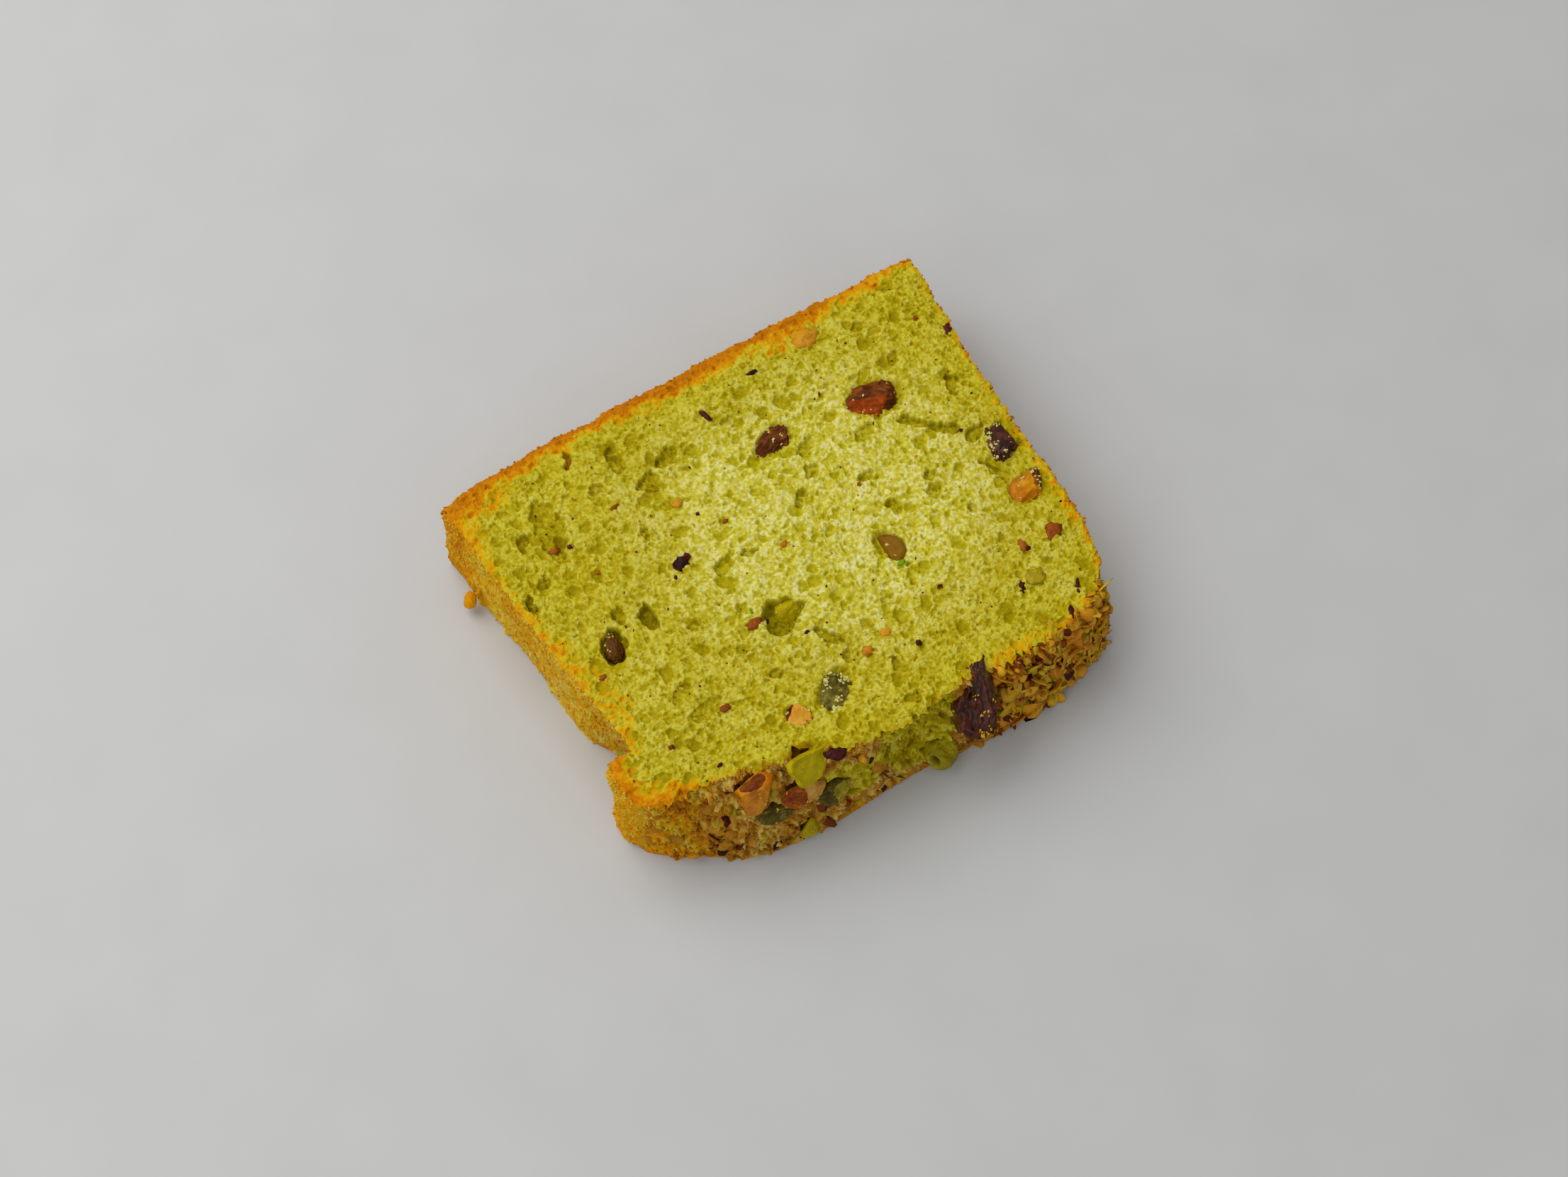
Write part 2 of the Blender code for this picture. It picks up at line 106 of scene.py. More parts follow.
def makePiece(name, points, quads, triangles=None, values=None, material=None, normals=None):
    # a mesh object from arrays: points in millimetres, faces as rows of point numbers
    mesh = bpy.data.meshes.new(name)
    mesh.vertices.add(len(points))
    mesh.vertices.foreach_set("co", (np.asarray(points) * mm).astype(np.float32).ravel())
    groups = [faces for faces in (quads, triangles) if faces is not None and len(faces)]
    corners = np.concatenate([faces.ravel() for faces in groups])
    sizes = np.concatenate([np.full(len(faces), faces.shape[1]) for faces in groups])
    mesh.loops.add(len(corners))
    mesh.loops.foreach_set("vertex_index", corners.astype(np.int32))
    mesh.polygons.add(len(sizes))
    mesh.polygons.foreach_set("loop_start", (np.cumsum(sizes) - sizes).astype(np.int32))
    mesh.polygons.foreach_set("use_smooth", np.ones(len(sizes), bool))
    for key, value in (values or {}).items():
        spread = np.broadcast_to(np.ravel(value), len(points)).astype(np.float32)
        mesh.attributes.new(key, "FLOAT", "POINT").data.foreach_set("value", spread)
    mesh.update(calc_edges=True)
    mesh.validate()
    if normals is not None:
        mesh.normals_split_custom_set_from_vertices(np.asarray(normals, np.float32))
    obj = bpy.data.objects.new(name, mesh)
    scene.collection.objects.link(obj)
    mesh.materials.append(material)
    return obj


def cakeValues(pit, brown, green, tan):
    # what the cake materials read at each point, 0 to 1: depth in a pit, which darkens the colour as painted
    # shade, how baked, how green, how tanned
    return {"pit": pit, "brown": brown, "green": green, "tan": tan}


def declare(obj, slot, *nodes):
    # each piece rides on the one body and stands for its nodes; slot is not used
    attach(obj, "root")
    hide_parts(*nodes)
    return obj


def sheetFaces(rows, columns, flip=False):
    # the quads of a grid of points stored row by row
    index = np.arange(rows * columns).reshape(rows, columns)
    corners = [index[:-1, :-1], index[1:, :-1], index[1:, 1:], index[:-1, 1:]]
    return np.stack([c.ravel() for c in (corners[::-1] if flip else corners)], axis=1)


def makeSheet(name, points, flip=False, **rest):
    # a mesh object from a grid of points [row, column]
    return makePiece(name, points.reshape(-1, 3), sheetFaces(*points.shape[:2], flip=flip), **rest)


def ballFaces(around, rings):
    # the quads between the rings of a ball and the triangles round its two poles, which come last
    index = np.arange((rings - 1) * around).reshape(rings - 1, around)
    right = np.roll(index, -1, axis=1)
    quads = np.stack([index[:-1], index[1:], right[1:], right[:-1]], axis=2).reshape(-1, 4)
    first = (rings - 1) * around
    caps = np.concatenate([
        np.stack([np.full(around, first), index[0], right[0]], axis=1),
        np.stack([np.full(around, first + 1), right[-1], index[-1]], axis=1),
    ])
    return quads, caps


def gridEdges(grid):
    # the four edges of a face's grid, by the wall that each one lies on
    return {"rear": grid[0], "dome": grid[-1], "left": grid[:, 0], "right": grid[:, -1]}


def sheetNormals(points, flip=False):
    # across the sheet: the cross product of the steps along the rows and down the columns
    normal = np.cross(np.gradient(points, axis=0), np.gradient(points, axis=1))
    normal /= np.maximum(np.linalg.norm(normal, axis=2, keepdims=True), 1e-12)
    return -normal if flip else normal


# The slice's plan, from the same stations as the solid: a point of the upper face's edge and the
# point of the lower face's edge under it.
cake = {
    "length": 90.0,        # along the base
    "thickness": 18.0,
    "leanPower": 1.7,      # how late the wall leans in on its way up
    "rowFade": 2.0,        # how fast the rows swing to the left wall
    "columns": 620,        # grid steps along the base
    "rows": 460,           # from the base to the dome
    "levels": 92,          # down the wall
    "ragged": (0.34, 3.4),                   # size and wave of the crust's large unevenness
    "torn": ((-1.5, 9.5), (6.5, 8.0)),       # the dent: middle and half sizes, along and up the dome
    "tornLeft": ((-13.0, 9.5), (7.5, 5.5)),  # more bare crumb to its left
    "tornTop": (9.0, 16.0, 8.0),             # above it: from and to this height, and the half width
    "tornBare": (0.5, 0.55),                 # how bare the strip above and the crumb to the left are
    "tornDepth": 2.6,
}
walls = {
    "rear": [
        ((-45.0, 36.0), (-45.3, 36.9)), ((-37.0, 37.0), (-37.0, 37.6)), ((-24.0, 37.3), (-24.0, 37.9)),
        ((-2.0, 37.2), (-2.0, 37.8)), ((20.0, 37.0), (20.0, 37.5)), ((35.0, 36.4), (35.0, 36.9)),
        ((45.0, 36.0), (45.2, 36.4)),
    ],
    "right": [
        ((45.0, 36.0), (45.2, 36.4)), ((44.2, 28.0), (44.8, 28.0)), ((42.6, 18.0), (43.3, 18.0)),
        ((41.2, 6.0), (42.0, 6.0)), ((40.5, -6.0), (41.3, -6.0)), ((39.9, -17.0), (41.0, -17.0)),
        ((38.5, -24.2), (39.8, -24.8)), ((35.6, -30.8), (37.0, -31.4)),
    ],
    "dome": [
        ((-44.0, -25.8), (-44.9, -24.6)), ((-41.4, -26.8), (-41.8, -27.2)), ((-35.4, -26.9), (-37.3, -30.2)),
        ((-29.6, -27.9), (-32.5, -33.4)), ((-23.3, -30.0), (-26.5, -35.2)), ((-18.0, -30.6), (-20.5, -35.9)),
        ((-13.5, -33.8), (-14.0, -36.0)), ((-8.0, -34.6), (-7.0, -35.9)), ((-1.0, -35.6), (0.0, -36.2)),
        ((4.5, -34.6), (6.0, -36.9)), ((9.5, -33.8), (12.0, -37.9)), ((15.8, -35.0), (18.0, -37.4)),
        ((22.7, -34.8), (24.3, -37.3)), ((28.9, -34.3), (29.8, -35.9)), ((32.6, -33.2), (34.2, -34.3)),
        ((35.6, -30.8), (37.0, -31.4)),
    ],
    "left": [
        ((-45.0, 36.0), (-45.3, 36.9)), ((-43.8, 30.0), (-44.7, 31.0)), ((-43.6, 22.0), (-44.0, 23.0)),
        ((-43.2, 12.0), (-43.1, 14.0)), ((-42.8, 4.0), (-42.9, 5.0)), ((-42.1, -4.0), (-42.4, -3.0)),
        ((-41.2, -10.0), (-40.4, -6.8)), ((-41.0, -14.5), (-38.1, -10.0)), ((-41.7, -16.4), (-37.6, -13.0)),
        ((-43.7, -16.0), (-41.0, -14.2)), ((-45.5, -16.9), (-44.4, -15.6)), ((-45.9, -19.2), (-45.9, -17.8)),
        ((-45.6, -22.2), (-46.3, -20.6)), ((-44.0, -25.8), (-44.9, -24.6)),
    ],
}
# the cut face's rows start from this line under the lip, where the left wall folds back on itself
rowStarts = [top for top, foot in walls["left"][:6]] + [
    (-41.4, -9.5), (-41.4, -13.2), (-41.9, -15.8), (-42.6, -17.8),
    (-43.2, -19.4), (-43.6, -21.0), (-43.9, -23.0), (-44.0, -25.8),
]
outwardSign = {"rear": -1, "right": -1, "dome": 1, "left": 1}
# where two walls meet: a wall along the base and its end, a wall across and its end
meetings = [
    ("rear", 0, "left", 0), ("rear", -1, "right", 0), ("dome", 0, "left", -1), ("dome", -1, "right", -1),
]


def stationKnots(stations):
    # each station's share of the way: half by length along the upper edge, half by count
    points = np.array(stations, float).reshape(len(stations), 4)
    steps = np.linalg.norm(np.diff(points[:, :2], axis=0), axis=1)
    byLength = np.concatenate([[0.0], np.cumsum(steps)]) / steps.sum()
    return points, (byLength + np.linspace(0, 1, len(stations))) / 2


def alongWall(side, share):
    # top x, y and foot x, y at each share: cubic Hermite pieces between the stations
    points, knots = stationKnots(walls[side])
    slopes = np.gradient(points, knots, axis=0)
    i = np.clip(np.searchsorted(knots, share, side="right") - 1, 0, len(knots) - 2)
    span = (knots[i + 1] - knots[i])[:, None]
    t = (share - knots[i])[:, None] / span
    return (
        (1 + 2 * t) * (1 - t) ** 2 * points[i] + t * (1 - t) ** 2 * span * slopes[i]
        + t * t * (3 - 2 * t) * points[i + 1] + t * t * (t - 1) * span * slopes[i + 1]
    )


def wallPlan(side, share, height):
    # plan points [level, share]: foot + (top - foot) * (height / thickness)^leanPower
    stations = alongWall(side, share)
    lean = (np.atleast_1d(height) / cake["thickness"])[:, None, None] ** cake["leanPower"]
    return stations[None, :, 2:] + (stations[None, :, :2] - stations[None, :, 2:]) * lean


def facePlan(along, across, height):
    # the four walls blended over the unit square, with the rows swung to the left wall
    rear, dome = (wallPlan(side, along, height)[0][None] for side in ("rear", "dome"))
    right, left = (wallPlan(side, across, height)[0][:, None] for side in ("right", "left"))
    knots = stationKnots(walls["left"])[1]
    starts = np.array(rowStarts)
    guide = np.stack([np.interp(across, knots, starts[:, axis]) for axis in (0, 1)], axis=1)[:, None]
    a, c = along[None, :, None], across[:, None, None]
    corners = (
        (1 - a) * (1 - c) * rear[:, :1] + a * (1 - c) * rear[:, -1:]
        + (1 - a) * c * dome[:, :1] + a * c * dome[:, -1:]
    )
    blend = (1 - c) * rear + c * dome + (1 - a) * guide + a * right - corners
    return blend + (left - guide) * np.exp(-a * cake["length"] / cake["rowFade"])


def raggedShift(x, y, height):
    # the crust's large unevenness along the outward direction: size * layered noise
    size, wave = cake["ragged"]
    return size * layeredNoise(x, y, height, wave, 5)


def ovalShare(x, height, oval):
    # 1 in the middle of an oval on the dome and 0 at its edge: 1 - reach^2
    (midX, midHeight), (halfX, halfHeight) = oval
    return np.clip(1 - ((x - midX) / halfX) ** 2 - ((height - midHeight) / halfHeight) ** 2, 0, 1)


def tornPatch(x, height):
    # the dent in the dome, and how bare the crumb is: by the dent, the oval to its left and the strip above
    dent = ovalShare(x, height, cake["torn"])
    low, high, half = cake["tornTop"]
    above = easeStep(low, high, height) * np.clip(1 - ((x - cake["torn"][0][0]) / half) ** 2, 0, 1)
    bareAbove, bareLeft = cake["tornBare"]
    beside = bareLeft * ovalShare(x, height, cake["tornLeft"])
    return dent, np.maximum(dent, np.maximum(bareAbove * above, beside))


# middle, half sizes, turn about X, Y and Z in degrees and top (the height of the knife's cut): as in the
# solid. broken: how flat the broken side is, from 0 whole to 1 cut flat; less where facets make the break.
# outline: the kernel's shape on the cut face, as a reach for every 30 degrees.
# facets: breaks as a local direction, a share of the half size, and how bare of skin the break is.
# bare: the same for the rest of the kernel. wrinkle: how deep the skin's folds are, in mm.
# dust: how many crumbs stick to it. lift: how far the fine surface is moved from the solid, in mm.
# grow: a factor on the half sizes. lean: a further turn about Y, in degrees.
# hollow: direction, reach and depth of a dent. slot: only where it isn't the look's own.
kernels = {
    "kernel_brown_large": dict(
        middle=(24.6, 15.9, 16.2), half=(5.6, 4.1, 3.0), turn=(0, 8, -16), broken=0.0,
        outline=(0.96, 0.84, 0.92, 1.04, 0.92, 0.8, 0.92, 1.1, 1.06, 1.08, 1.04, 0.98),
        look="roastedSkin", wrinkle=0.34, dust=0.3, bare=0.25, lift=(0.0, 0.0, 0.5),
        facets=[((-0.15, 0.5, 0.86), 0.6, 0.3), ((-0.3, -0.66, 0.7), 0.66, 0.9),
                ((0.85, -0.1, 0.52), 0.66, -0.8), ((0.3, -0.8, 0.5), 0.7, 0.1)],
    ),
    "kernel_brown_mid": dict(
        middle=(6.4, 17.9, 16.4), half=(4.4, 2.7, 2.4), turn=(0, 0, 22), broken=0.0,
        outline=(0.88, 1.0, 1.02, 0.72, 0.82, 0.92, 1.16, 1.0, 0.98, 1.0, 0.98, 0.84),
        look="roastedSkin", wrinkle=0.3, dust=1.0, bare=0.0, lift=(0.3, 0.5, 0.1),
        facets=[((0.4, 0.25, 0.88), 0.6, 0.1), ((0.9, -0.4, 0.3), 0.66, 0.2),
                ((-0.5, -0.5, 0.7), 0.6, 0.0)],
    ),
    "kernel_edge_dark": dict(
        middle=(38.0, -1.6, 16.1), half=(3.8, 2.6, 2.4), turn=(0, 10, 60), broken=0.0,
        outline=(0.96, 0.98, 0.92, 0.94, 1.0, 1.2, 1.26, 0.92, 1.0, 1.1, 1.0, 1.0), look="darkSkin",
        wrinkle=0.34, dust=3.2, bare=0.0, grow=1.18, lift=(-0.3, 0.9, 0.0),
        facets=[((0.3, -0.2, 0.93), 0.6, 0.2), ((0.5, -0.75, 0.4), 0.5, 1.0)],
    ),
    "kernel_edge_orange": dict(
        middle=(35.9, -11.2, 16.4), half=(4.1, 2.6, 2.3), turn=(0, 0, 8), broken=0.0,
        outline=(0.84, 0.82, 0.66, 0.62, 0.8, 1.05, 1.1, 1.12, 1.26, 1.2, 1.12, 0.86), look="amberFlesh",
        wrinkle=0.1, dust=0.6, bare=1.0, grow=1.2, lift=(0.5, 0.3, 0.0),
        facets=[((-0.4, -0.2, 0.9), 0.6, 1.0), ((0.85, -0.35, 0.4), 0.42, -1.0),
                ((-0.2, -0.85, 0.5), 0.6, 1.0)],
    ),
    "kernel_mid_olive": dict(
        middle=(11.2, -8.0, 15.9), half=(3.4, 2.2, 2.6), turn=(0, 0, -75), broken=0.0,
        outline=(0.74, 0.72, 0.9, 1.08, 0.98, 0.98, 1.0, 0.62, 0.5, 0.58, 0.86, 1.0), top=18.3,
        look="toastFlesh", wrinkle=0.05, dust=0.1, bare=1.0, lift=(0.15, -0.66, 0.0), facets=[],
    ),
    "kernel_pit_brown": dict(
        middle=(-34.6, -0.6, 15.6), half=(3.0, 1.7, 1.8), turn=(0, 0, 72), broken=0.1, look="oliveSkin",
        wrinkle=0.16, dust=0.2, bare=0.0, grow=0.82, lift=(0.4, 1.2, 1.0), facets=[],
    ),
    "kernel_pit_olive": dict(
        middle=(-8.8, -8.8, 14.4), half=(3.0, 2.4, 2.0), turn=(0, 0, 60), broken=0.2, look="greenFlesh",
        slot="nut_olive", wrinkle=0.06, dust=0.1, bare=1.0, lift=(1.2, 1.0, 1.5),
        facets=[((0.5, 0.4, 0.75), 0.5, 1.0), ((-0.6, -0.5, 0.6), 0.6, 1.0)],
    ),
    "kernel_grey_green": dict(
        middle=(-9.3, -24.1, 16.2), half=(4.3, 2.8, 2.3), turn=(0, 0, 30), broken=0.2,
        outline=(0.92, 0.98, 1.0, 0.86, 0.8, 0.88, 1.0, 1.2, 1.3, 1.04, 0.9, 0.86), look="greySkin",
        wrinkle=0.3, dust=6.5, bare=0.0,
        facets=[((0.3, -0.2, 0.93), 0.56, 0.3), ((0.9, 0.2, 0.3), 0.7, 0.0)],
    ),
    "kernel_peach": dict(
        middle=(-16.8, -24.9, 16.9), half=(2.4, 1.7, 1.5), turn=(0, 0, -40), broken=0.0,
        outline=(0.92, 0.88, 0.88, 1.1, 1.22, 1.2, 1.18, 1.3, 1.36, 1.15, 1.04, 0.98), look="creamFlesh",
        wrinkle=0.04, dust=0.25, bare=0.95,
        facets=[((0.25, 0.0, 0.97), 0.72, 1.0), ((-0.9, 0.1, 0.42), 0.82, -1.0)],
    ),
    "kernel_dome_dark": dict(
        middle=(9.9, -34.0, 12.1), half=(6.7, 4.5, 2.9), turn=(68, 26, -90), broken=0.3, look="darkSkin",
        wrinkle=0.5, dust=1.6, bare=0.0, grow=1.12, lean=34, lift=(-2.4, -0.9, 2.2),
        facets=[((-0.45, -0.2, 0.85), 0.5, 0.3), ((0.5, 0.35, 0.79), 0.52, 0.0),
                ((0.1, -0.8, 0.6), 0.62, 0.9), ((0.9, 0.0, 0.4), 0.68, 0.0),
                ((-0.9, 0.1, 0.4), 0.66, 0.0)],
    ),
    "kernel_dome_green": dict(
        middle=(2.4, -36.6, 3.3), half=(2.9, 2.8, 2.8), turn=(0, 0, 0), broken=0.1, look="oliveFlesh",
        slot="nut_green", wrinkle=0.26, dust=0.1, bare=1.0, hollow=((-0.85, -0.4, 0.3), 0.34, 1.2),
        facets=[((0.1, -0.35, 0.93), 0.8, 1.0), ((0.9, -0.4, 0.2), 0.8, 1.0)],
    ),
    "kernel_amber": dict(
        middle=(-28.3, -30.0, 14.3), half=(3.3, 2.6, 3.7), turn=(20, 0, 10), broken=0.6,
        look="amberFlesh", wrinkle=0.1, dust=0.2, bare=1.0, grow=1.22, lift=(0.0, -0.9, 0.3),
        facets=[((-0.5, -0.66, 0.5), 0.56, 1.0), ((0.62, -0.72, 0.2), 0.54, 1.0),
                ((0.1, 0.6, 0.8), 0.8, -0.6), ((-0.95, 0.0, -0.1), 0.7, 0.6)],
    ),
    "kernel_half_green": dict(
        middle=(-19.7, -31.6, 16.0), half=(3.9, 2.6, 1.5), turn=(46, 22, 4), broken=0.3,
        outline=(1.15, 1.34, 0.9, 0.86, 0.95, 1.24, 1.0, 0.92, 1.2, 0.9, 0.84, 0.95), look="greenFlesh",
        wrinkle=0.02, dust=0.15, bare=1.0, lift=(0.2, -0.9, 0.5),
        facets=[((0.0, 0.0, 1.0), 0.34, 1.0), ((0.85, -0.5, 0.0), 0.66, 1.0)],
    ),
    "kernel_cream": dict(
        middle=(-21.9, -33.4, 11.9), half=(3.3, 1.7, 1.5), turn=(30, 10, 0), broken=0.4,
        outline=(1.1, 0.94, 0.84, 0.96, 0.9, 1.0, 1.05, 0.9, 0.98, 0.86, 0.96, 1.0), look="toastedCream",
        wrinkle=0.06, dust=0.2, bare=1.0, grow=1.12, lift=(0.0, -0.7, 0.3),
        facets=[((0.3, -0.3, 0.9), 0.5, 1.0), ((-0.75, -0.2, 0.62), 0.34, -1.0)],
    ),
    "kernel_dark_green": dict(
        middle=(-16.8, -35.1, 8.9), half=(3.1, 1.9, 2.1), turn=(0, -14, 6), broken=0.2, look="greySkin",
        slot="nut_green", wrinkle=0.2, dust=0.3, bare=0.3,
        facets=[((0.4, -0.8, 0.4), 0.56, 1.0), ((-0.7, -0.5, 0.4), 0.6, 0.0)],
    ),
    "kernel_low_dark": dict(
        middle=(-26.3, -33.2, 9.2), half=(3.1, 1.8, 1.7), turn=(0, 6, -8), broken=0.2, look="greySkin",
        wrinkle=0.2, dust=0.3, bare=0.0,
        facets=[((0.3, -0.7, 0.6), 0.66, 0.2)],
    ),
    "kernel_wedge": dict(
        middle=(-21.8, -35.8, 2.4), half=(2.1, 1.6, 1.6), turn=(20, 0, 30), broken=0.8,
        outline=(1.25, 0.9, 0.8, 0.95, 1.1, 0.9, 0.86, 1.0, 1.2, 0.85, 0.8, 0.95), look="greenFlesh",
        wrinkle=0.03, dust=0.1, bare=1.0,
        facets=[((0.3, -0.6, 0.7), 0.4, 1.0), ((-0.7, -0.6, 0.2), 0.5, 1.0)],
    ),
}
kernelSlots = {
    "roastedSkin": "nut_skin", "darkSkin": "nut_skin",
    "amberFlesh": "nut_amber", "creamFlesh": "nut_amber", "toastedCream": "nut_amber",
    "toastFlesh": "nut_olive", "oliveFlesh": "nut_olive", "oliveSkin": "nut_olive", "greySkin": "nut_olive",
    "greenFlesh": "nut_green",
}


domeKernelY = -28  # kernels with their middle beyond this are on the dome


def turnMatrix(degrees):
    # turns about X, then Y, then Z
    (sx, sy, sz), (cx, cy, cz) = np.sin(np.radians(degrees)), np.cos(np.radians(degrees))
    aboutX = np.array([[1, 0, 0], [0, cx, -sx], [0, sx, cx]])
    aboutY = np.array([[cy, 0, sy], [0, 1, 0], [-sy, 0, cy]])
    aboutZ = np.array([[cz, -sz, 0], [sz, cz, 0], [0, 0, 1]])
    return aboutZ @ aboutY @ aboutX


# The cut face
face = {
    "swell": (0.42, 7.5),       # height and wave of the slow swell
    "grain": (0.12, 0.75),      # height and wave of the granules
    "fineGrain": (0.045, 0.40),
    "warp": (0.42, 1.05),       # how far and at what wave the pores' outlines wander
    "largePores": dict(cell=3.1, small=0.40, large=1.15, share=0.46, seed=21, edge=5.0),
    "midPores": dict(cell=1.45, small=0.22, large=0.60, share=0.60, seed=22, edge=4.0),
    "smallPores": dict(cell=0.80, small=0.15, large=0.30, share=0.62, seed=23, edge=3.0),
    "poreDepths": (0.50, 0.34, 0.20),
    "bedDepth": 0.7,            # how far the crumb is pressed in round a kernel
    "edgeReach": 1.6,           # how far in the walls' own shift is felt
    "edgeCalm": (0.35, 1.4),    # what the edge keeps of the relief, and from where it is whole
    "rimRound": (0.35, 0.55),   # depth and reach of the worn rim
    # what darkens it: painted shade in the pores, holes and kernels' beds, an even share, blotches and flecks
    # with their waves, less a painted highlight on the rim of each pore
    "poreShade": 0.82, "holeShade": 0.62, "bedShade": 0.25, "evenTone": 0.165,
    "blotch": (0.17, 1.15), "fleck": (0.16, 0.40), "rimHighlight": 0.14,
}
# how steep the holes are, how deep against the table, and how far and at what wave they wander
holeForm = {"steep": 3.4, "depth": 0.62, "slowWander": (0.6, 1.5), "fineWander": (0.26, 0.55)}
# holes: middle x and y, half length, half width, depth, turn in degrees
holes = [
    (-10.0, -9.4, 3.4, 2.9, 3.0, 60), (-7.6, -9.6, 1.9, 1.5, 2.4, 0), (-34.2, 0.3, 3.1, 2.1, 2.0, 72),
    (-27.2, 1.6, 2.9, 1.5, 2.4, 80), (-16.9, 29.2, 3.0, 1.4, 1.2, 75), (-14.3, 22.5, 2.2, 1.9, 1.2, 20),
    (-9.4, 25.0, 2.5, 1.4, 1.4, 20), (-32.2, 23.2, 6.5, 2.3, 1.1, 80), (-36.8, 23.6, 1.7, 0.8, 1.7, 75),
    (-12.4, 2.9, 2.2, 1.5, 1.3, 10), (-7.8, 2.9, 1.0, 0.8, 1.2, 0), (-6.2, -15.2, 1.6, 1.0, 1.5, -60),
    (-5.2, -17.0, 1.5, 0.9, 1.4, -20), (15.9, -2.5, 1.7, 1.1, 1.3, 50), (23.7, -0.9, 1.3, 0.9, 1.2, 20),
    (22.8, -3.7, 1.2, 1.5, 1.2, 10), (27.4, 8.4, 3.0, 0.9, 1.5, -40), (30.4, 5.4, 3.2, 1.0, 1.7, -45),
    (34.6, 1.6, 2.2, 1.2, 1.5, 30), (-31.2, 4.5, 1.6, 1.0, 1.1, 60), (0.3, -25.9, 1.5, 0.7, 1.2, 70),
    (-5.1, -20.8, 1.4, 1.1, 1.0, 10), (-15.7, -17.5, 1.2, 1.0, 1.0, 0), (4.0, 6.8, 1.5, 1.1, 1.2, 30),
    (15.5, 4.6, 1.4, 1.1, 1.1, 0), (8.5, 9.9, 1.2, 1.4, 1.1, 0), (-40.9, 13.5, 1.6, 0.7, 1.6, 75),
    (-37.8, 15.5, 1.3, 1.0, 1.2, 30), (-22.0, 25.6, 1.2, 1.0, 1.0, 0), (-23.2, 32.9, 1.9, 0.8, 1.5, 75),
    (-38.9, -26.4, 1.3, 0.8, 1.4, 50), (-27.7, -16.7, 3.0, 1.6, 0.8, 20),
    (-30.0, -12.4, 2.2, 1.4, 0.7, 20), (-0.6, -32.2, 1.2, 1.0, 1.0, 0), (10.4, 14.6, 2.3, 1.1, 1.1, 20),
    (31.4, 20.6, 1.6, 0.9, 0.9, 60), (19.5, 11.2, 2.2, 1.0, 0.9, 15), (36.6, 11.5, 2.2, 1.0, 1.2, 70),
    (33.2, -6.4, 3.0, 0.8, 0.9, -75), (-31.4, 27.4, 1.6, 1.2, 0.9, 0), (26.0, -9.5, 1.1, 0.8, 0.9, 30),
    (2.2, 25.5, 1.4, 0.7, 0.9, 0), (29.5, 29.0, 1.2, 0.9, 0.9, 40), (-22.0, -3.6, 1.3, 0.8, 0.9, 10),
    (-19.5, 14.5, 1.3, 0.8, 0.9, 60), (5.6, -16.0, 1.2, 0.8, 0.9, 0),
]
# patches where the crumb is a deeper green: middle, reach, amount
greenPatches = [
    (-33, 22, 11, 0.9), (-36, 8, 8, 0.5), (-33, -6, 8, 0.5), (-28, -14, 8, 0.6), (-22, -24, 9, 0.5),
    (34, 27, 11, 0.7), (37, 8, 7, 0.7), (33, -2, 7, 0.45), (2, -29, 7, 0.5), (30, 32, 8, 0.4),
    (-8, -15, 5, 0.25), (27, -22, 8, 0.35), (18, 30, 9, 0.45),
]
crustFade = {
    "core": 1.25,            # how far past 1 it starts, so that the edge itself is whole
    "wander": (0.45, 3.2),   # how much and at what wave its reach wanders
    "crumble": (0.62, 0.9),  # how much and at what wave it breaks up where it is half
    "strength": 0.8,
}
# how deep the crust's colour reaches into the cut face: mm along the edge, reach in mm and strength
crustReach = {
    "rear": [
        (0, 6.8, 0.95), (6, 5.4, 1.0), (14, 3.6, 1.05), (22, 3.3, 1.1), (40, 3.3, 1.1), (58, 3.9, 1.1),
        (66, 4.8, 1.1), (72, 3.4, 0.95), (90, 2.2, 0.6),
    ],
    "right": [
        (0, 2.0, 0.27), (10, 1.2, 0.31), (24, 1.3, 0.39), (30, 2.6, 0.35), (44, 2.0, 0.39),
        (52, 2.6, 0.47), (60, 2.2, 0.47), (70, 2.0, 0.39),
    ],
    "dome": [
        (0, 5.4, 0.92), (6, 4.0, 0.75), (10, 1.1, 0.27), (18, 1.2, 0.27), (27, 0.9, 0.27),
        (33, 0.6, 0.23), (44, 0.6, 0.23), (52, 1.8, 0.31), (60, 2.8, 0.39), (72, 2.8, 0.39),
        (80, 2.0, 0.39),
    ],
    "left": [
        (0, 6.2, 0.9), (6, 3.2, 0.7), (14, 1.8, 0.38), (28, 3.0, 0.4), (40, 4.8, 0.44), (46, 5.8, 0.42),
        (51, 1.4, 0.39), (54, 3.6, 0.8), (66, 5.0, 0.92),
    ],
}


def holeDepth(x, y):
    # each hole: depth * b^2 * (3 - 2b), b = steep * (1 - reach^2) between 0 and 1, with an outline that
    # wanders slowly and finely
    (slow, slowWave), (fine, fineWave) = holeForm["slowWander"], holeForm["fineWander"]
    wanderX = x + slow * softNoise(x, y, 3.0, slowWave, 31) + fine * softNoise(x, y, 3.0, fineWave, 33)
    wanderY = y + slow * softNoise(x, y, 7.0, slowWave, 32) + fine * softNoise(x, y, 7.0, fineWave, 34)
    deepest = np.zeros(np.shape(x))
    for midX, midY, halfLength, halfWidth, depth, turn in holes:
        c, s = math.cos(math.radians(turn)), math.sin(math.radians(turn))
        along = ((wanderX - midX) * c + (wanderY - midY) * s) / halfLength
        across = ((wanderY - midY) * c - (wanderX - midX) * s) / halfWidth
        bowl = np.clip(holeForm["steep"] * (1 - along ** 2 - across ** 2), 0, 1)
        deepest = np.maximum(deepest, holeForm["depth"] * depth * bowl * bowl * (3 - 2 * bowl))
    return deepest


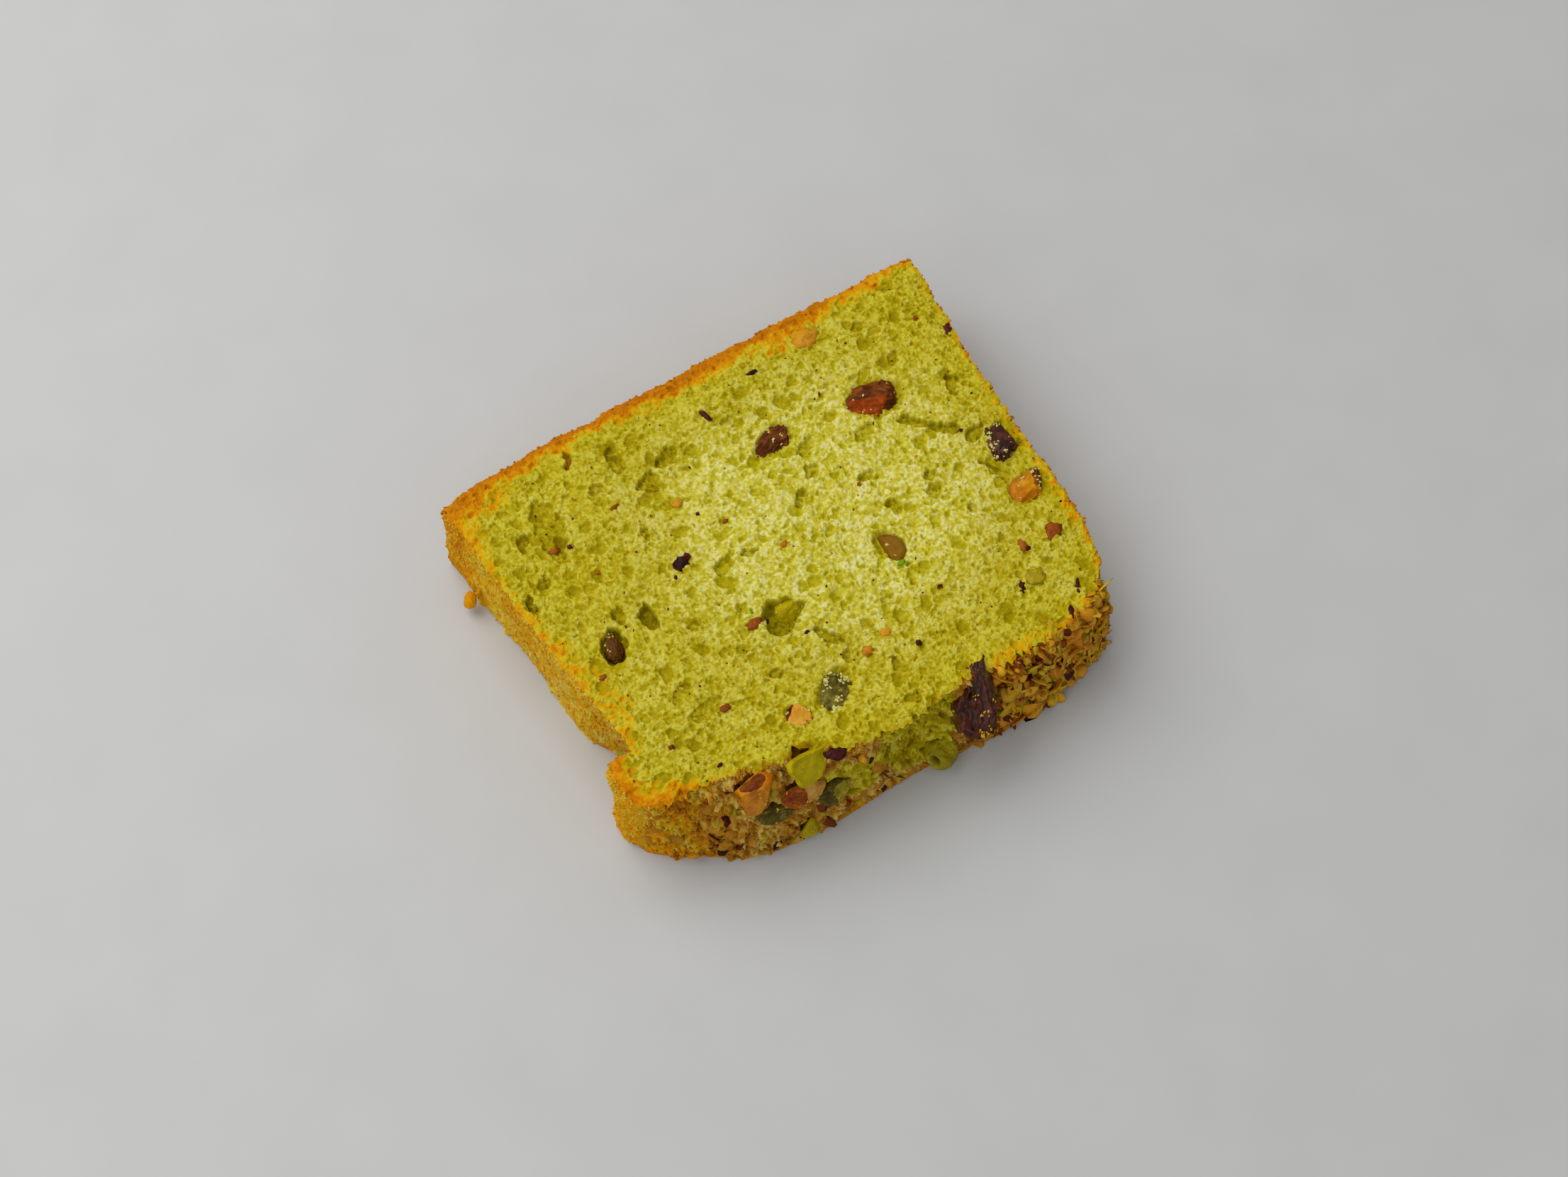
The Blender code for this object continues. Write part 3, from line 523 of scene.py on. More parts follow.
def kernelBeds(x, y):
    # 1 inside a kernel's outline on the cut face, easing to 0 just outside it
    deepest = np.zeros(np.shape(x))
    for kernel in kernels.values():
        midX, midY, midZ = kernel["middle"]
        if midZ + kernel["half"][2] < 17.0 or midY < -33:
            continue
        angle = math.radians(kernel["turn"][2])
        along = (x - midX) * math.cos(angle) + (y - midY) * math.sin(angle)
        across = (y - midY) * math.cos(angle) - (x - midX) * math.sin(angle)
        reach = np.hypot(along / (kernel["half"][0] * 0.95), across / (kernel["half"][1] * 0.95))
        deepest = np.maximum(deepest, 1 - easeStep(0.75, 1.12, reach))
    return deepest


def crumbRelief(x, y):
    # height of a crumb face over its plane, and how deep in a pore each point is (0 to 1):
    # swell + granules - pores of three sizes - holes, with the pores' outlines warped by noise
    warpSize, warpWave = face["warp"]
    u = x + warpSize * softNoise(x, y, 0.0, warpWave, 11) + 0.14 * softNoise(x, y, 0.0, 0.42, 13)
    v = y + warpSize * softNoise(x, y, 9.0, warpWave, 12) + 0.14 * softNoise(x, y, 9.0, 0.42, 14)
    pores = [
        depth * bowls(u, v, **face[size])
        for size, depth in zip(("largePores", "midPores", "smallPores"), face["poreDepths"])
    ]
    pore = np.maximum(np.maximum(pores[0], pores[1]), pores[2])
    swell = face["swell"][0] * softNoise(x, y, 0.0, face["swell"][1], 15)
    clumps = 0.16 * layeredNoise(x, y, 0.0, 1.9, 16)
    grain = face["grain"][0] * np.abs(softNoise(x, y, 0.0, face["grain"][1], 17)) * 2
    grain = grain + face["fineGrain"][0] * softNoise(x, y, 0.0, face["fineGrain"][1], 18)
    rough = 1 - 0.75 * np.clip(pore / 0.35, 0, 1)
    return swell + clumps + (grain - face["grain"][0]) * rough - pore, pore


along = np.linspace(0, 1, cake["columns"] + 1)
across = np.linspace(0, 1, cake["rows"] + 1)
levels = np.linspace(cake["thickness"], 0, cake["levels"] + 1)


def wallSheet(side, share):
    # a wall as points [level, share] with its outward directions and its distance from the ends
    plan = wallPlan(side, share, levels)
    tangent = np.gradient(plan, axis=1)
    outward = np.stack([tangent[..., 1], -tangent[..., 0]], axis=2) * outwardSign[side]
    outward /= np.linalg.norm(outward, axis=2, keepdims=True)
    run = np.concatenate([[0], np.cumsum(np.linalg.norm(np.diff(plan[0], axis=0), axis=1))])
    return {"plan": plan, "outward": outward, "run": run, "share": share}


sheets = {side: wallSheet(side, along if side in ("rear", "dome") else across) for side in walls}
# at each corner both walls take the mean of their outward directions
for first, firstEnd, second, secondEnd in meetings:
    mean = sheets[first]["outward"][:, firstEnd] + sheets[second]["outward"][:, secondEnd]
    mean /= np.linalg.norm(mean, axis=1, keepdims=True)
    for side, end in ((first, firstEnd), (second, secondEnd)):
        sheet = sheets[side]
        away = np.abs(sheet["run"] - sheet["run"][end])[None, :, None]
        weight = np.exp(-(away / 1.1) ** 2)
        turned = sheet["outward"] * (1 - weight) + mean[:, None] * weight
        sheet["outward"] = turned / np.linalg.norm(turned, axis=2, keepdims=True)
print("plan ready")


# each wall's crust: lump height and wave, pit depth, fibre (slanting streaks), how tanned and how baked
crusts = {
    "rear": dict(lump=0.20, lumpWave=1.2, pit=0.34, fibre=0.05, tan=0.05, brown=0.72),
    "right": dict(lump=0.24, lumpWave=1.4, pit=0.38, fibre=0.10, tan=0.20, brown=0.72),
    "dome": dict(lump=0.55, lumpWave=1.8, pit=0.60, fibre=0.38, tan=0.75, brown=0.60),
    "left": dict(lump=0.20, lumpWave=1.3, pit=0.30, fibre=0.16, tan=0.06, brown=0.46),
}

crustForm = {
    "endFade": 0.9,        # how near a corner the relief dies out
    "warp": (0.25, 0.9),   # how far and at what wave the pits' outlines wander
    "pits": dict(cell=1.25, small=0.2, large=0.62, share=0.55),
    "finePits": dict(cell=0.62, small=0.12, large=0.28, share=0.6),
    "finePitDepth": 0.14,
    "grain": (0.05, 0.34),
    "tornRelief": 2.2,     # the torn crumb against the cut face's
    "bedDepth": 1.9,       # how far the dome goes in round a kernel
    "cornerRound": (0.45, 1.1),
}


def wallRelief(side):
    # outward shift of each wall point: slow unevenness that the corners share, then lumps, slanting
    # fibres and pits that die out towards the ends, less the torn patch and the kernels' beds
    sheet, look, form = sheets[side], crusts[side], crustForm
    x, y = sheet["plan"][..., 0], sheet["plan"][..., 1]
    height = np.broadcast_to(levels[:, None], x.shape)
    run = np.broadcast_to(sheet["run"][None], x.shape)
    number = sorted(walls).index(side) * 40
    ends = np.minimum(run, sheet["run"][-1] - run)
    fade = 1 - np.exp(-(ends / form["endFade"]) ** 2)
    (warpSize, warpWave), (grainSize, grainWave) = form["warp"], form["grain"]
    warpU = run + warpSize * softNoise(run, height, number, warpWave, 51)
    warpV = height + warpSize * softNoise(run, height, number + 5, warpWave, 52)
    pits = bowls(warpU, warpV, seed=53 + number, **form["pits"])
    finePits = bowls(warpU, warpV, seed=54 + number, **form["finePits"])
    lumps = np.abs(layeredNoise(run, height, number, look["lumpWave"], 55)) * 2 - 0.6
    slant = softNoise(run + 0.9 * height, (height - 0.5 * run) * 0.28, number, 0.42, 56)
    grain = softNoise(run, height, number, grainWave, 57)
    shift = look["lump"] * lumps + look["fibre"] * slant + grainSize * grain
    shift = shift - look["pit"] * pits - form["finePitDepth"] * finePits
    dent, bare = tornPatch(x, height) if side == "dome" else (np.zeros_like(x), np.zeros_like(x))
    torn = easeStep(0.02, 0.22, bare + 0.16 * layeredNoise(run, height, number, 2.2, 58))
    crumbShift, pore = crumbRelief(run * 0.95, height * 0.95 + number + 300)
    shift = shift * (1 - torn) + crumbShift * form["tornRelief"] * torn - cake["tornDepth"] * dent
    bed = np.zeros_like(x)
    for kernel in kernels.values():
        midX, midY, midZ = kernel["middle"]
        if side == "dome" and midY < domeKernelY:
            reach = np.sqrt((x - midX) ** 2 + (height - midZ) ** 2) / (np.mean(kernel["half"]) * 0.95)
            bed = np.maximum(bed, 1 - easeStep(0.6, 1.1, reach))
    shift = shift * fade - form["bedDepth"] * bed + raggedShift(x, y, height)
    roundSize, roundReach = form["cornerRound"]
    shift = shift - roundSize * np.exp(-(ends / roundReach) ** 2)
    # colour mask: painted shade in the crust's pits, the torn crumb's pores and round the dome's kernels
    crustPitShade = np.maximum(pits * 0.8, finePits * 0.5)
    tornPitShade = pore * 2.2 + 0.22 - 0.5 * layeredNoise(run, height, number, 1.1, 59)
    pit = np.clip(crustPitShade * (1 - torn) + tornPitShade * torn, 0, 1)
    return shift, np.clip(pit * fade + 0.7 * bed, 0, 1), torn, lumps


for side, sheet in sheets.items():
    sheet["shift"], sheet["pit"], sheet["torn"], sheet["lumps"] = wallRelief(side)
    sheet["points"] = sheet["plan"] + sheet["outward"] * sheet["shift"][..., None]
print("wall relief ready")


# The cut face as one grid of points, with its edge on the walls' top rows
plan = facePlan(along, across, cake["thickness"])


def rowDistance(points, axis, fromEnd):
    # length of the path from one end of each row or column
    step = np.linalg.norm(np.diff(points, axis=axis), axis=2)
    length = np.cumsum(step, axis=axis)
    length = np.concatenate([np.zeros_like(np.take(length, [0], axis)), length], axis=axis)
    return np.take(length, [-1], axis) - length if fromEnd else length


def edgeDistances(grid):
    # how far each point of a face's grid is from each wall
    ends = {"rear": (0, False), "dome": (0, True), "left": (1, False), "right": (1, True)}
    return {side: rowDistance(grid, axis, fromEnd) for side, (axis, fromEnd) in ends.items()}


distance = edgeDistances(plan)


def edgeShift():
    # each wall's own shift carried inwards as e^(-distance / reach); where two meet, their product is
    # taken off once so that the corner isn't moved twice
    edge = {side: sheets[side]["points"][0] - sheets[side]["plan"][0] for side in sheets}
    near = {side: np.exp(-distance[side] / face["edgeReach"])[..., None] for side in sheets}
    total = edge["rear"][None] * near["rear"] + edge["dome"][None] * near["dome"]
    total = total + edge["left"][:, None] * near["left"] + edge["right"][:, None] * near["right"]
    for lengthwise, end, crosswise, _ in meetings:
        total = total - edge[lengthwise][end] * near[lengthwise] * near[crosswise]
    return total


plan = plan + edgeShift()
for side, row in gridEdges(plan).items():
    row[:] = sheets[side]["points"][0]
faceX, faceY = plan[..., 0], plan[..., 1]
relief, pore = crumbRelief(faceX, faceY)
deepHoles = holeDepth(faceX, faceY)
beds = kernelBeds(faceX, faceY)
nearestEdge = np.minimum.reduce(list(distance.values()))
(calmLeast, calmReach), (rimDepth, rimReach) = face["edgeCalm"], face["rimRound"]
calm = calmLeast + (1 - calmLeast) * easeStep(0.0, calmReach, nearestEdge)
rim = rimDepth * np.exp(-(nearestEdge / rimReach) ** 2)
faceZ = cake["thickness"] + relief * calm - deepHoles - face["bedDepth"] * beds - rim
facePoints = np.dstack([faceX, faceY, faceZ])


def crustOnFace():
    # the largest over the walls of strength * (core - distance / reach), broken up where it is half
    (wanderSize, wanderWave), (crumbleSize, crumbleWave) = crustFade["wander"], crustFade["crumble"]
    total = np.zeros_like(faceX)
    wander = 1 + wanderSize * layeredNoise(faceX, faceY, 0, wanderWave, 61)
    for side, table in crustReach.items():
        spots, reach, strength = np.array(table).T
        run = sheets[side]["run"]
        run = run[None] if side in ("rear", "dome") else run[:, None]
        reachHere = np.interp(run, spots, reach) * wander
        share = np.clip(crustFade["core"] - distance[side] / reachHere, 0, 1)
        total = np.maximum(total, np.interp(run, spots, strength) * share)
    crumble = crumbleSize * layeredNoise(faceX, faceY, 0, crumbleWave, 66) * (1 - np.abs(2 * total - 1))
    return np.clip(total + crumble, 0, 1) * crustFade["strength"]


def greenOnFace():
    # deeper green towards the edges and in the listed patches
    outer = np.hypot((faceX - 7) / 38, (faceY - 3) / 33)
    total = 0.35 * np.exp(-nearestEdge / 4.0) + 0.85 * easeStep(0.4, 0.95, outer)
    for midX, midY, reach, amount in greenPatches:
        total = np.maximum(total, amount * np.exp(-((faceX - midX) ** 2 + (faceY - midY) ** 2) / reach ** 2))
    return np.clip(total + 0.16 * layeredNoise(faceX, faceY, 0, 5.0, 62), 0, 1)


faceBrown = crustOnFace()
(blotchSize, blotchWave), (fleckSize, fleckWave) = face["blotch"], face["fleck"]
# the crumb's colour mask: painted shade in the pores, holes and round the kernels, random blotches and
# flecks, and a painted highlight on each pore's rim
facePitShade = pore * face["poreShade"] + np.clip(deepHoles / 1.6, 0, 1) * face["holeShade"] + face["bedShade"] * beds
facePitShade = facePitShade + face["evenTone"] - blotchSize * layeredNoise(faceX, faceY, 0, blotchWave, 64)
facePitShade = facePitShade - fleckSize * softNoise(faceX, faceY, 0, fleckWave, 65)
facePitShade = np.clip(facePitShade - face["rimHighlight"] * np.exp(-((pore - 0.05) / 0.04) ** 2), 0, 1)
faceGreen = greenOnFace()
faceNormals = sheetNormals(facePoints)
print("cut face ready:", facePoints.shape)


def tint(red, green, blue):
    # a colour as it looks on screen, 0 to 255, to the linear values that a shader takes
    values = [c / 255 for c in (red, green, blue)]
    return [v / 12.92 if v <= 0.04045 else ((v + 0.055) / 1.055) ** 2.4 for v in values] + [1.0]


def addNode(tree, kind, **inputs):
    # a shader node with fixed values on its inputs; _ in a key stands for a space
    node = tree.nodes.new("ShaderNode" + kind)
    for key, value in inputs.items():
        node.inputs[key.replace("_", " ")].default_value = value
    return node


def mathNode(tree, operation, first, second, clamp=False):
    # one sum of two numbers or sockets
    node = tree.nodes.new("ShaderNodeMath")
    node.operation, node.use_clamp = operation, clamp
    for socket, value in zip(node.inputs, (first, second)):
        if isinstance(value, (int, float)):
            socket.default_value = value
        else:
            tree.links.new(value, socket)
    return node.outputs[0]


def mixNode(tree, factor, first, second):
    # first * (1 - factor) + second * factor, as colours
    node = tree.nodes.new("ShaderNodeMix")
    node.data_type = "RGBA"
    for socket, value in ((node.inputs[0], factor), (node.inputs[6], first), (node.inputs[7], second)):
        if isinstance(value, (int, float, list, tuple)):
            socket.default_value = value
        else:
            tree.links.new(value, socket)
    return node.outputs[2]


def rampNode(tree, value, stops):
    # stops: place from 0 to 1 and on-screen colour
    stops = list(stops)
    node = tree.nodes.new("ShaderNodeValToRGB")
    while len(node.color_ramp.elements) < len(stops):
        node.color_ramp.elements.new(0.5)
    for element, (place, colour) in zip(node.color_ramp.elements, stops):
        element.position, element.color = place, tint(*colour)
    tree.links.new(value, node.inputs[0])
    return node.outputs[0]


def centredNode(tree, value, size):
    # (value - 0.5) * size
    return mathNode(tree, "MULTIPLY", mathNode(tree, "SUBTRACT", value, 0.5), size)


def noiseNode(tree, scale, detail, roughness=0.5, distortion=0.0):
    # noise at the piece's own coordinates
    noise = addNode(tree, "TexNoise", Scale=scale, Detail=detail, Roughness=roughness, Distortion=distortion)
    tree.links.new(addNode(tree, "TexCoord").outputs["Object"], noise.inputs["Vector"])
    return noise.outputs["Fac"]


def rangeNode(tree, value, low, high, toLow=0.0, toHigh=1.0):
    # toLow at low, toHigh at high, straight between and held outside
    node = addNode(tree, "MapRange", From_Min=low, From_Max=high, To_Min=toLow, To_Max=toHigh)
    tree.links.new(value, node.inputs["Value"])
    return node.outputs["Result"]


def attributeNode(tree, name):
    # a value that the piece's points carry
    node = tree.nodes.new("ShaderNodeAttribute")
    node.attribute_name = name
    return node.outputs["Fac"]


def newGroup(name, inputs, outputs):
    # a node group with number inputs, and outputs of the given kinds
    group = bpy.data.node_groups.new(name, "ShaderNodeTree")
    for label, value in inputs.items():
        socket = group.interface.new_socket(label, in_out="INPUT", socket_type="NodeSocketFloat")
        socket.default_value = value
    for label, kind in outputs.items():
        group.interface.new_socket(label, in_out="OUTPUT", socket_type=kind)
    return group, group.nodes.new("NodeGroupInput"), group.nodes.new("NodeGroupOutput")


def makeGranules():
    # fine granules in object space: rounded cells of one size with softer noise of twice that over them
    group, source, sink = newGroup("granules", {"Scale": 3000.0, "Soften": 0.5}, {
        "Tone": "NodeSocketFloat", "Height": "NodeSocketFloat", "Glint": "NodeSocketFloat",
    })
    place = addNode(group, "TexCoord").outputs["Object"]
    cells = addNode(group, "TexVoronoi", Randomness=1.0)
    cells.feature = "SMOOTH_F1"
    noise = addNode(group, "TexNoise", Detail=3.0, Roughness=0.6)
    spots = addNode(group, "TexVoronoi", Randomness=1.0)
    for node, factor in ((cells, 1.0), (noise, 0.55), (spots, 0.8)):
        group.links.new(place, node.inputs["Vector"])
        group.links.new(mathNode(group, "MULTIPLY", source.outputs["Scale"], factor), node.inputs["Scale"])
    rounded = mathNode(group, "SUBTRACT", 1.0, cells.outputs["Distance"])
    softer = mathNode(group, "MULTIPLY", noise.outputs["Fac"], source.outputs["Soften"])
    height = mathNode(group, "ADD", rounded, softer)
    shade = rangeNode(group, noise.outputs["Fac"], 0.3, 0.7)
    separate = addNode(group, "SeparateColor")
    group.links.new(spots.outputs["Color"], separate.inputs[0])
    rare = rangeNode(group, separate.outputs[0], 0.72, 0.86)
    core = rangeNode(group, spots.outputs["Distance"], 0.42, 0.2)
    group.links.new(shade, sink.inputs["Tone"])
    group.links.new(height, sink.inputs["Height"])
    group.links.new(mathNode(group, "MULTIPLY", rare, core, True), sink.inputs["Glint"])
    return group


def makeBakedColour():
    # crumb colour by depth in the pores, as painted shade in them, then greened, then browned into crust and
    # tanned on the dome
    inputs, outputs = {"Grain": 0.5, "Mottle": 0.25}, {"Colour": "NodeSocketColor"}
    group, source, sink = newGroup("bakedColour", inputs, outputs)
    slow, quick = noiseNode(group, 420.0, 4.0, 0.62), noiseNode(group, 1500.0, 3.0, 0.6)
    # pit: depth in a pore, pit or crease, painted as shade
    pit, brown, green, tan = (attributeNode(group, name) for name in ("pit", "brown", "green", "tan"))
    grain = centredNode(group, source.outputs["Grain"], 0.34)
    depth = mathNode(group, "SUBTRACT", pit, grain, True)
    pale, greener = (rampNode(group, depth, cakeColours[name]) for name in ("crumb", "green"))
    crumb = mixNode(group, green, pale, greener)
    mottle = centredNode(group, slow, source.outputs["Mottle"])
    quickShade = centredNode(group, quick, 0.5)
    blotch = mathNode(group, "ADD", mottle, mathNode(group, "MULTIPLY", quickShade, 0.7))
    baked = mathNode(group, "ADD", brown, blotch)
    # pits pushed towards the darker crust colours as painted shade
    toasted = mathNode(group, "ADD", baked, mathNode(group, "MULTIPLY", pit, 0.22), True)
    golden, tanned = (rampNode(group, toasted, cakeColours[name]) for name in ("crust", "tan"))
    crust = mixNode(group, tan, golden, tanned)
    cover = mathNode(group, "ADD", brown, mathNode(group, "MULTIPLY", quickShade, 0.8))
    cover = rangeNode(group, cover, 0.08, 0.42)
    group.links.new(mixNode(group, cover, crumb, crust), sink.inputs["Colour"])
    return group


# on-screen colours of the crumb by depth in a pore, pale ridges as painted highlight and darker pores as
# painted shade over its own yellow-green, and of the crust by how baked it is
cakeColours = {
    "crumb": [(0.0, (226, 220, 144)), (0.16, (208, 198, 64)), (0.5, (178, 165, 6)), (1.0, (132, 119, 0))],
    "green": [(0.0, (204, 192, 52)), (0.3, (176, 157, 2)), (1.0, (126, 106, 0))],
    "crust": [(0.0, (202, 180, 16)), (0.35, (217, 172, 4)), (0.7, (212, 136, 0)), (1.0, (168, 88, 0))],
    "tan": [(0.0, (222, 184, 100)), (0.55, (178, 124, 36)), (1.0, (84, 42, 2))],
}
granules = makeGranules()
bakedColour = makeBakedColour()


def useGroup(tree, group, **inputs):
    # the group as a node, with its own values or links
    node = tree.nodes.new("ShaderNodeGroup")
    node.node_tree = group
    for key, value in inputs.items():
        if isinstance(value, (int, float)):
            node.inputs[key].default_value = value
        else:
            tree.links.new(value, node.inputs[key])
    return node


def startMaterial(name):
    material = bpy.data.materials.new(name)
    material.use_nodes = True
    tree = material.node_tree
    return material, tree, tree.nodes["Principled BSDF"]


def bumpInto(tree, shader, height, distance):
    # the finest grain as bump, distance in metres
    bump = addNode(tree, "Bump", Strength=1.0, Distance=distance)
    tree.links.new(height, bump.inputs["Height"])
    tree.links.new(bump.outputs["Normal"], shader.inputs["Normal"])


def cakeMaterial(name, look):
    # the baked colour over fine granules, rougher in their hollows, with glints on the dry ridges
    material, tree, shader = startMaterial(name)
    fine = useGroup(tree, granules, Scale=look["grainScale"], Soften=0.5)
    baked = useGroup(tree, bakedColour, Grain=fine.outputs["Tone"], Mottle=look["mottle"])
    tree.links.new(baked.outputs["Colour"], shader.inputs["Base Color"])
    rough = rangeNode(tree, fine.outputs["Tone"], 0.0, 1.0, look["rough"] + 0.1, look["rough"] - 0.12)
    tree.links.new(rough, shader.inputs["Roughness"])
    dry = mathNode(tree, "SUBTRACT", 1.0, mathNode(tree, "MULTIPLY", attributeNode(tree, "pit"), 2.0), True)
    glint = mathNode(tree, "MULTIPLY", fine.outputs["Glint"], dry)
    tree.links.new(mathNode(tree, "MULTIPLY", glint, look["glint"]), shader.inputs["Coat Weight"])
    shader.inputs["Coat Roughness"].default_value = 0.18
    shader.inputs["Specular IOR Level"].default_value = 0.06
    bumpInto(tree, shader, fine.outputs["Height"], look["bump"])
    return material


crumbMaterial = cakeMaterial("moistCrumb", dict(
    grainScale=3300.0, mottle=0.3, rough=0.7, glint=0.3, bump=0.00005,
))
crustMaterial = cakeMaterial("bakedCrust", dict(
    grainScale=2600.0, mottle=0.55, rough=0.6, glint=0.25, bump=0.00008,
))


def nutMaterial(name, look):
    # skin and flesh by the piece's own mask, streaked along the kernel, with painted shade in the wrinkles
    # and dents
    material, tree, shader = startMaterial(name)
    streaks = noiseNode(tree, look["streaks"], 5.0, 0.65, 0.6)
    fine = useGroup(tree, granules, Scale=2200.0, Soften=0.8)
    flesh, creaseShade = attributeNode(tree, "flesh"), attributeNode(tree, "pit")
    tone = rangeNode(tree, streaks, 0.3, 0.7)
    skin = rampNode(tree, tone, zip((0.0, 0.5, 1.0), look["skin"]))
    meat = rampNode(tree, tone, zip((0.0, 0.6, 1.0), look["flesh"]))
    edge = mathNode(tree, "ADD", flesh, centredNode(tree, tone, 0.5))
    colour = mixNode(tree, rangeNode(tree, edge, 0.35, 0.65), skin, meat)
    colour = mixNode(tree, mathNode(tree, "MULTIPLY", creaseShade, 0.75, True), colour, tint(*look["skin"][0]))
    tree.links.new(colour, shader.inputs["Base Color"])
    rough = rangeNode(tree, fine.outputs["Tone"], 0, 1, look["rough"] - 0.08, look["rough"] + 0.12)
    tree.links.new(rough, shader.inputs["Roughness"])
    shader.inputs["Coat Weight"].default_value = look["coat"] * 0.3
    shader.inputs["Coat Roughness"].default_value = 0.22
    shader.inputs["Specular IOR Level"].default_value = 0.1
    bumpInto(tree, shader, fine.outputs["Height"], 0.00004)
    return material


# skin and flesh: three on-screen colours each, from dark to light
nutLooks = {
    "roastedSkin": dict(
        skin=((48, 12, 4), (112, 54, 8), (156, 88, 28)), streaks=520.0, rough=0.42, coat=0.15,
        flesh=((116, 36, 0), (154, 60, 0), (190, 90, 8)),
    ),
    "darkSkin": dict(
        skin=((26, 8, 4), (74, 28, 10), (128, 64, 36)), streaks=420.0, rough=0.34, coat=0.9,
        flesh=((60, 20, 8), (92, 60, 20), (130, 100, 30)),
    ),
    "amberFlesh": dict(
        skin=((84, 22, 2), (112, 50, 4), (146, 78, 14)), streaks=360.0, rough=0.34, coat=0.2,
        flesh=((156, 84, 0), (200, 122, 0), (226, 164, 12)),
    ),
    "toastFlesh": dict(
        skin=((84, 52, 4), (112, 78, 10), (140, 104, 26)), streaks=420.0, rough=0.4, coat=0.1,
        flesh=((112, 70, 4), (142, 98, 10), (164, 124, 24)),
    ),
    "oliveFlesh": dict(
        skin=((64, 46, 4), (112, 86, 14), (140, 116, 30)), streaks=380.0, rough=0.42, coat=0.2,
        flesh=((122, 104, 4), (158, 142, 8), (184, 170, 24)),
    ),
    "oliveSkin": dict(
        skin=((48, 24, 2), (104, 62, 6), (128, 86, 18)), streaks=380.0, rough=0.42, coat=0.1,
        flesh=((96, 74, 6), (138, 116, 16), (166, 150, 40)),
    ),
    "greySkin": dict(
        skin=((56, 46, 12), (108, 94, 26), (150, 138, 62)), streaks=460.0, rough=0.55, coat=0.15,
        flesh=((104, 90, 10), (154, 140, 30), (190, 178, 60)),
    ),
    "creamFlesh": dict(
        skin=((84, 16, 8), (116, 44, 6), (150, 72, 18)), streaks=300.0, rough=0.4, coat=0.3,
        flesh=((206, 126, 10), (226, 168, 50), (240, 204, 100)),
    ),
    "toastedCream": dict(
        skin=((96, 36, 4), (156, 76, 6), (188, 112, 24)), streaks=300.0, rough=0.4, coat=0.2,
        flesh=((170, 112, 26), (206, 154, 66), (226, 186, 108)),
    ),
    "greenFlesh": dict(
        skin=((70, 48, 4), (120, 100, 8), (150, 134, 14)), streaks=340.0, rough=0.42, coat=0.1,
        flesh=((150, 130, 0), (186, 168, 0), (206, 192, 8)),
    ),
}
nutMaterials = {name: nutMaterial(name, look) for name, look in nutLooks.items()}


def choppedMaterial():
    # chopped nut: one tone per bit picks its place from dark skin through toasted gold to green
    material, tree, shader = startMaterial("choppedNut")
    blotch = noiseNode(tree, 700.0, 4.0, 0.6)
    fine = useGroup(tree, granules, Scale=2400.0, Soften=0.8)
    tone = mathNode(tree, "ADD", attributeNode(tree, "tone"), centredNode(tree, blotch, 0.16), True)
    colour = rampNode(tree, tone, [
        (0.0, (40, 10, 12)), (0.14, (90, 24, 8)), (0.3, (150, 74, 8)), (0.46, (204, 132, 10)),
        (0.6, (222, 164, 34)), (0.72, (206, 166, 22)), (0.84, (168, 150, 8)), (1.0, (120, 160, 10)),
    ])
    dark = mixNode(tree, rangeNode(tree, blotch, 0.55, 0.75), colour, tint(96, 58, 14))
    tree.links.new(mixNode(tree, 0.55, dark, colour), shader.inputs["Base Color"])
    tree.links.new(rangeNode(tree, fine.outputs["Tone"], 0, 1, 0.38, 0.62), shader.inputs["Roughness"])
    shader.inputs["Coat Weight"].default_value = 0.06
    shader.inputs["Specular IOR Level"].default_value = 0.12
    bumpInto(tree, shader, fine.outputs["Height"], 0.00005)
    return material


choppedNut = choppedMaterial()
print("materials ready")


def facePatches():
    # the cut face in four patches, each with the normals of the whole grid
    halfRows, halfColumns = cake["rows"] // 2, cake["columns"] // 2
    rowSpans = {"rear": slice(0, halfRows + 1), "front": slice(halfRows, None)}
    columnSpans = {"left": slice(0, halfColumns + 1), "right": slice(halfColumns, None)}
    for rowName, rowSpan in rowSpans.items():
        for columnName, columnSpan in columnSpans.items():
            cut = (rowSpan, columnSpan)
            patch = makeSheet(
                f"cut_face_{rowName}_{columnName}", facePoints[cut], material=crumbMaterial,
                normals=faceNormals[cut].reshape(-1, 3),
                values=cakeValues(facePitShade[cut], faceBrown[cut], faceGreen[cut], 0.0),
            )
            declare(patch, "cake", "cake_slice")


facePatches()


